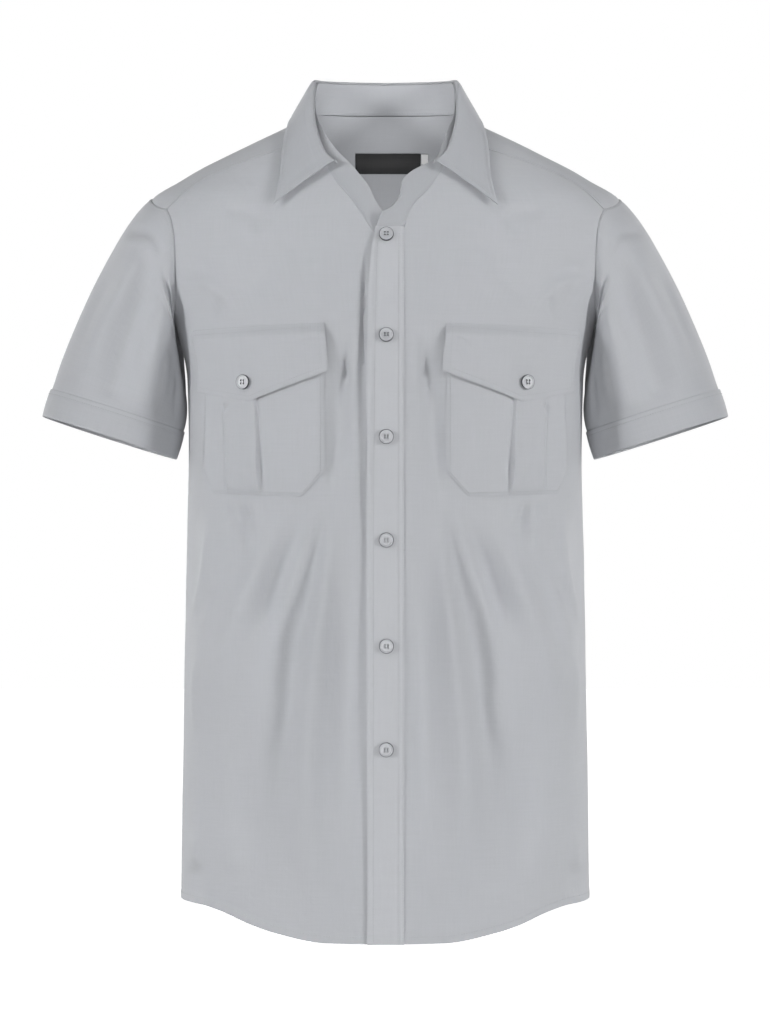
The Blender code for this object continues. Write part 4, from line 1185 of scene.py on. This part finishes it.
def sleeve_rings(rows=74):
    """Rings of the wearer's left sleeve from the armhole to the cuff seam"""
    loop, share = armhole_loop()
    start = on_body(loop[:, 0], loop[:, 1])
    end = cuff_ring(share, 0.0, 0.0)
    upper = (1 - np.cos(2 * np.pi * share)) / 2
    ahead = np.sin(2 * np.pi * share)
    leave = np.stack([0.25 + 0.65 * upper, -0.45 * ahead, -0.85 + 0.38 * upper], axis=-1)
    leave = leave / np.linalg.norm(leave, axis=1, keepdims=True)
    outward = np.zeros_like(leave)
    outward[:, 0] = 1
    start = start + SLEEVE_SEAM * (leave + outward * (1 - upper)[:, None] * 1.2)
    leave = leave * (SLEEVE_LEAVE + SLEEVE_LEAVE_TOP * upper)[:, None]
    arrive = CUFF_DOWN * (SLEEVE_ARRIVE + SLEEVE_ARRIVE_TOP * upper)[:, None]
    rings = []
    for t in np.linspace(0, 1, rows) ** 1.15:
        ring = ((1 + 2 * t) * (1 - t) ** 2 * start + t * t * (3 - 2 * t) * end
                + t * (1 - t) ** 2 * leave - t * t * (1 - t) * arrive)
        radial = ring - ring.mean(axis=0)
        radial = radial / np.linalg.norm(radial, axis=1, keepdims=True)
        rise = np.zeros_like(share)
        for place, first, last, height_mm, width in zip(*SLEEVE_FOLDS.values()):
            ends = fade((t - first) / 0.25) * fade((last - t) / 0.25) * fade((1 - t) / 0.1)
            rise += FOLD_DEPTH * height_mm * ends * np.exp(-((share - place) / width) ** 2)
        round_mm, up_mm = share * SLEEVE_GIRTH, np.full_like(share, (1 - t) * SLEEVE_LENGTH)
        calm = fade(t / 0.06) * fade((1 - t) / 0.04)
        rise += calm * (FOLD_DEPTH * crease_rise(SLEEVE_CREASES, round_mm, up_mm)
                        + 0.8 * unevenness(round_mm, up_mm))
        ease = 0.45 * np.sin(share * 330 + 2 * np.sin(share * 37)) + 0.25 * np.sin(share * 190)
        rise += ease * upper * fade(t / 0.02) * np.exp(-(t / 0.07))
        rise += 0.55 * np.exp(-((t - 0.018) / 0.012) ** 2)
        rings.append(ring + rise[:, None] * radial)
    return np.array(rings), share


sleeve_grid, sleeve_share = sleeve_rings()
sleeve_grain = np.stack(np.meshgrid(sleeve_share * SLEEVE_GIRTH,
                                    -np.linspace(0, SLEEVE_LENGTH, len(sleeve_grid))), axis=-1)
sleeve_normals = net_normals(sleeve_grid)
sleeve_normals = sleeve_normals * np.sign(((sleeve_grid - sleeve_grid.mean(axis=1, keepdims=True))
                                           * sleeve_normals).sum(axis=-1, keepdims=True))


def mirror(points):
    """The same points on the wearer's right"""
    return points * np.array([-1, 1, 1])


sleeve_runs = [(sleeve_grid[row, :], sleeve_normals[row, :]) for row in (1, 3)]
for side in ("left", "right"):
    mirrored = side == "right"
    grid = mirror(sleeve_grid)[:, ::-1] if mirrored else sleeve_grid
    grain = sleeve_grain * (-1, 1) if mirrored else sleeve_grain
    sleeve = cloth("cloth_sleeve_" + side, "sleeve_" + side, grid,
                   grain[:, ::-1] if mirrored else grain, poplin, girth=SLEEVE_GIRTH, flip=True)
    runs = [(mirror(path), mirror(normals)) if mirrored else (path, normals)
            for path, normals in sleeve_runs]
    sew("armhole_stitches_" + side, *runs)


# Two cuffs. The sleeve's end turned up outside in a band and stitched near its upper edge.
CUFF_HEIGHT = 27.0
cuff_drops = np.concatenate([[-1.2, -0.9, 0.2], np.linspace(1.4, CUFF_HEIGHT - 1.2, 15),
                             [CUFF_HEIGHT - 0.5, CUFF_HEIGHT]])
cuff_share = np.concatenate([sleeve_share, (sleeve_share + np.append(sleeve_share[1:], 1)) / 2])
cuff_share.sort()
cuff_rings = []
for drop in cuff_drops:
    down = drop / CUFF_HEIGHT
    flare = 1.5 + 0.5 * math.sin(math.pi * down) - 0.6 * math.exp(-abs(CUFF_HEIGHT - drop) / 0.5)
    flare -= 0.5 * math.exp(-abs(drop + 1.2) / 0.4) + 0.3 * math.exp(-((drop - 3.6) / 0.9) ** 2)
    flare = flare + (0.5 * np.sin(cuff_share * 19 + 1) + 0.25 * np.sin(cuff_share * 47)) * down
    cuff_rings.append(cuff_ring(cuff_share, drop, flare))
cuff_grid = np.array(cuff_rings)
cuff_grain = np.stack(np.meshgrid(cuff_share * SLEEVE_GIRTH, -cuff_drops), axis=-1)
cuff_outward = cuff_ring(cuff_share, 0, 1) - cuff_ring(cuff_share, 0, 0)
cuff_outward = cuff_outward / np.linalg.norm(cuff_outward, axis=1, keepdims=True)
for side in ("left", "right"):
    mirrored = side == "right"
    grid = mirror(cuff_grid)[:, ::-1] if mirrored else cuff_grid
    grain = (cuff_grain * (-1, 1))[:, ::-1] if mirrored else cuff_grain
    cuff = cloth("cloth_cuff_" + side, "cuff_" + side, grid, grain, poplin, girth=SLEEVE_GIRTH,
                 flip=True)
    run = cuff_ring(cuff_share, 3.6, 1.75)
    sew("cuff_stitches_" + side, (mirror(run), mirror(cuff_outward)) if mirrored
        else (run, cuff_outward))


# Eight buttons. Moulded resin, satin grey, with a raised rim, a dished middle and four holes,
# each sewn on with two bars of thread. One is modelled and the rest are copies.
BUTTON_RADIUS = 7.0 * MM
BUTTON_THICKNESS = 2.6 * MM
BUTTON_RIM = 1.5 * MM
BUTTON_DISH = 0.8 * MM
HOLE_RADIUS = 1.05 * MM
HOLE_ASIDE = 1.4 * MM
BUTTON_ACROSS = 1.0
BUTTON_HEIGHTS = (-122.0, -219.0, -315.0, -412.6, -513.0, -611.0)
POCKET_BUTTON_ACROSS = 132.5
POCKET_BUTTON_HEIGHT = -262.5

resin = bpy.data.materials.new("grey_resin")
resin.use_nodes = True
resin_shader = resin.node_tree.nodes["Principled BSDF"]
resin_place = resin.node_tree.nodes.new("ShaderNodeTexCoord").outputs["Object"]
cloudy = node(resin.node_tree, "ShaderNodeTexNoise",
              {"Vector": resin_place, "Scale": 260.0, "Detail": 3.0})
marbled = node(resin.node_tree, "ShaderNodeMix",
               {"Factor": cloudy.outputs["Fac"], 6: (0.42, 0.43, 0.455, 1), 7: (0.50, 0.51, 0.535, 1)},
               data_type="RGBA")
resin.node_tree.links.new(marbled.outputs[2], resin_shader.inputs["Base Color"])
rubbed = node(resin.node_tree, "ShaderNodeMapRange",
              {"Value": cloudy.outputs["Fac"], "To Min": 0.28, "To Max": 0.45})
resin.node_tree.links.new(rubbed.outputs[0], resin_shader.inputs["Roughness"])


def select_faces(mesh, wanted):
    """Select the faces that a rule on their centre and normal picks, in edit mode"""
    bpy.ops.mesh.select_all(action="DESELECT")
    bpy.ops.object.mode_set(mode="OBJECT")
    for face in mesh.polygons:
        face.select = wanted(face.center, face.normal)
    bpy.ops.object.mode_set(mode="EDIT")
    bpy.ops.mesh.select_mode(type="FACE")


def apply_modifier(piece, modifier):
    """Make a modifier's result the piece's own mesh"""
    bpy.ops.object.select_all(action="DESELECT")
    piece.select_set(True)
    bpy.context.view_layer.objects.active = piece
    bpy.ops.object.modifier_apply(modifier=modifier.name)


# Painted shade: the walls of the holes are near-black for the shade deep in them, not the resin's own
# colour
hole_painted_shade = bpy.data.materials.new("hole_painted_shade")
hole_painted_shade.use_nodes = True
hole_shader = hole_painted_shade.node_tree.nodes["Principled BSDF"]
hole_shader.inputs["Base Color"].default_value = (0.03, 0.03, 0.035, 1)
hole_shader.inputs["Roughness"].default_value = 0.8
# Painted shade: the button's outer side and the wall of its dish are near-black, for the dark ring of
# shade round and inside the rim
rim_painted_shade = bpy.data.materials.new("rim_painted_shade")
rim_painted_shade.use_nodes = True
rim_shader = rim_painted_shade.node_tree.nodes["Principled BSDF"]
rim_shader.inputs["Base Color"].default_value = (0.06, 0.063, 0.07, 1)
rim_shader.inputs["Roughness"].default_value = 0.5
# The thread bars are painted near-black so that the holes they cross read dark: thread plus painted
# shade
button_thread_and_hole_shade = cloth_material("button_thread_and_hole_shade", (0.16, 0.165, 0.18, 1))

bpy.ops.object.select_all(action="DESELECT")
bpy.ops.mesh.primitive_cylinder_add(vertices=48, radius=BUTTON_RADIUS, depth=BUTTON_THICKNESS,
                                    location=(0, 0, BUTTON_THICKNESS / 2))
button = bpy.context.object
bpy.ops.object.transform_apply(location=True, rotation=True, scale=True)
bpy.ops.object.mode_set(mode="EDIT")
select_faces(button.data, lambda centre, normal: normal.z > 0.9)
bpy.ops.mesh.inset(thickness=BUTTON_RIM * 0.8)
bpy.ops.mesh.inset(thickness=BUTTON_RIM * 0.45)
bpy.ops.transform.translate(value=(0, 0, -BUTTON_DISH))
bpy.ops.mesh.inset(thickness=0.6 * MM)
select_faces(button.data, lambda centre, normal: normal.z < -0.9)
bpy.ops.mesh.inset(thickness=1.6 * MM)
bpy.ops.object.mode_set(mode="OBJECT")
rounding = button.modifiers.new("rounding", "BEVEL")
rounding.width = 0.5 * MM
rounding.segments = 3
rounding.limit_method = "ANGLE"
rounding.angle_limit = math.radians(32)
apply_modifier(button, rounding)
for material in (resin, hole_painted_shade, rim_painted_shade):
    button.data.materials.append(material)
# Faces on the outer side and on the dish wall get the painted shade
for face in button.data.polygons:
    radius = math.hypot(face.center.x, face.center.y)
    dish_wall = abs(face.normal.z) < 0.75 and radius < BUTTON_RADIUS - BUTTON_RIM * 0.7
    if radius > 0.92 * BUTTON_RADIUS or dish_wall:
        face.material_index = 2
for aside in (-HOLE_ASIDE, HOLE_ASIDE):
    for up in (-HOLE_ASIDE, HOLE_ASIDE):
        bpy.ops.object.select_all(action="DESELECT")
        bpy.ops.mesh.primitive_cylinder_add(vertices=20, radius=HOLE_RADIUS,
                                            depth=BUTTON_THICKNESS * 3, location=(aside, up, 0))
        drill = bpy.context.object
        # The drilled walls take the painted shade
        drill.data.materials.append(hole_painted_shade)
        hole = button.modifiers.new("hole", "BOOLEAN")
        hole.object = drill
        hole.operation = "DIFFERENCE"
        hole.material_mode = "TRANSFER"
        apply_modifier(button, hole)
        bpy.data.objects.remove(drill)
button.data.shade_smooth()
button.data.set_sharp_from_angle(angle=math.radians(35))

bpy.ops.object.select_all(action="DESELECT")
bpy.ops.mesh.primitive_cylinder_add(vertices=10, radius=0.22 * MM, depth=2.4 * HOLE_ASIDE,
                                    rotation=(math.pi / 2, 0, 0))
bar = bpy.context.object
bpy.ops.object.transform_apply(location=True, rotation=True, scale=True)
rounding = bar.modifiers.new("rounding", "BEVEL")
rounding.width = 0.2 * MM
rounding.segments = 3
apply_modifier(bar, rounding)
bar.data.materials.append(button_thread_and_hole_shade)
bar.data.shade_smooth()

button_places = [("button_" + str(number), turn_at(BUTTON_ACROSS, height), height,
                  PLACKET_OUT + LAYER_GAP) for number, height in enumerate(BUTTON_HEIGHTS, 1)]
for side, way in (("left", 1), ("right", -1)):
    button_places.append(("pocket_button_" + side,
                          way * turn_at(POCKET_BUTTON_ACROSS, POCKET_BUTTON_HEIGHT),
                          POCKET_BUTTON_HEIGHT, FLAP_OUT))
for name, turn, height, out in button_places:
    centre = on_body(np.array(turn), np.array(height), np.array(out)) * MM
    facing = Vector(body_normal(turn, height))
    sideways = Vector((0, 0, 1)).cross(facing).normalized()
    upright = facing.cross(sideways)
    place = Matrix((sideways, upright, facing)).transposed().to_4x4()
    place.translation = Vector(centre)
    resin_copy = button.data.copy()
    resin_copy.transform(place)
    piece = bpy.data.objects.new("resin_" + name, resin_copy)
    bpy.context.scene.collection.objects.link(piece)
    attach(piece, "root")
    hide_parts(name)
    for number, aside in enumerate((-HOLE_ASIDE, HOLE_ASIDE), 1):
        bar_copy = bar.data.copy()
        bar_copy.transform(place @ Matrix.Translation(
            (aside, 0, BUTTON_THICKNESS - BUTTON_DISH + 0.12 * MM)))
        thread = bpy.data.objects.new("thread_" + str(number) + "_" + name, bar_copy)
        bpy.context.scene.collection.objects.link(thread)
        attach(thread, "root")
bpy.data.objects.remove(button)
bpy.data.objects.remove(bar)


# The label and the size tab. A bare black woven label with folded ends, sewn inside the yoke
# under the stand, and a small white tab beside it.
LABEL_LEFT, LABEL_RIGHT = -30.0, 35.5
LABEL_BOTTOM, LABEL_TOP = -45.0, -26.5
TAB_LEFT, TAB_RIGHT = 36.2, 43.0
TAB_BOTTOM, TAB_TOP = -36.0, -27.0
LABEL_IN = CLOTH + 0.8
LABEL_CUT = (0.068, 0.0195)
TAB_CUT = (0.0105, 0.0105)
label_weave = cloth_material("black_satin_weave", (0.016, 0.016, 0.017, 1), pitch=0.00028,
                             unevenness=0.5, roughness=0.5, sheen=0.05, crumples=0.0001)
tab_weave = cloth_material("white_tape", (0.82, 0.82, 0.82, 1), pitch=0.0003, unevenness=0.08,
                           roughness=0.6, sheen=0.05, crumples=0.0001)
for name, replaced, left, right, low, high, material, cut, wall in (
        ("woven_label", "label", LABEL_LEFT, LABEL_RIGHT, LABEL_BOTTOM, LABEL_TOP, label_weave,
         LABEL_CUT, 0.6),
        ("woven_size_tab", "size_tab", TAB_LEFT, TAB_RIGHT, TAB_BOTTOM, TAB_TOP, tab_weave,
         TAB_CUT, 0.4)):
    rows, columns = 16, max(8, int((right - left) / 1.2))
    across, heights = np.meshgrid(np.linspace(left, right, columns), np.linspace(low, high, rows))
    folded_end = np.exp(-np.minimum(across - left, right - across) / 2.2)
    inward = LABEL_IN + 0.35 * folded_end + 0.9 * fade((high - 3 - heights) / 12) * (1 - folded_end)
    grid = on_body(180 - turn_at(across, heights), heights, -inward)
    piece = cloth(name, replaced, grid, np.stack([across, heights], axis=-1), material,
                  wall=wall, flip=True)
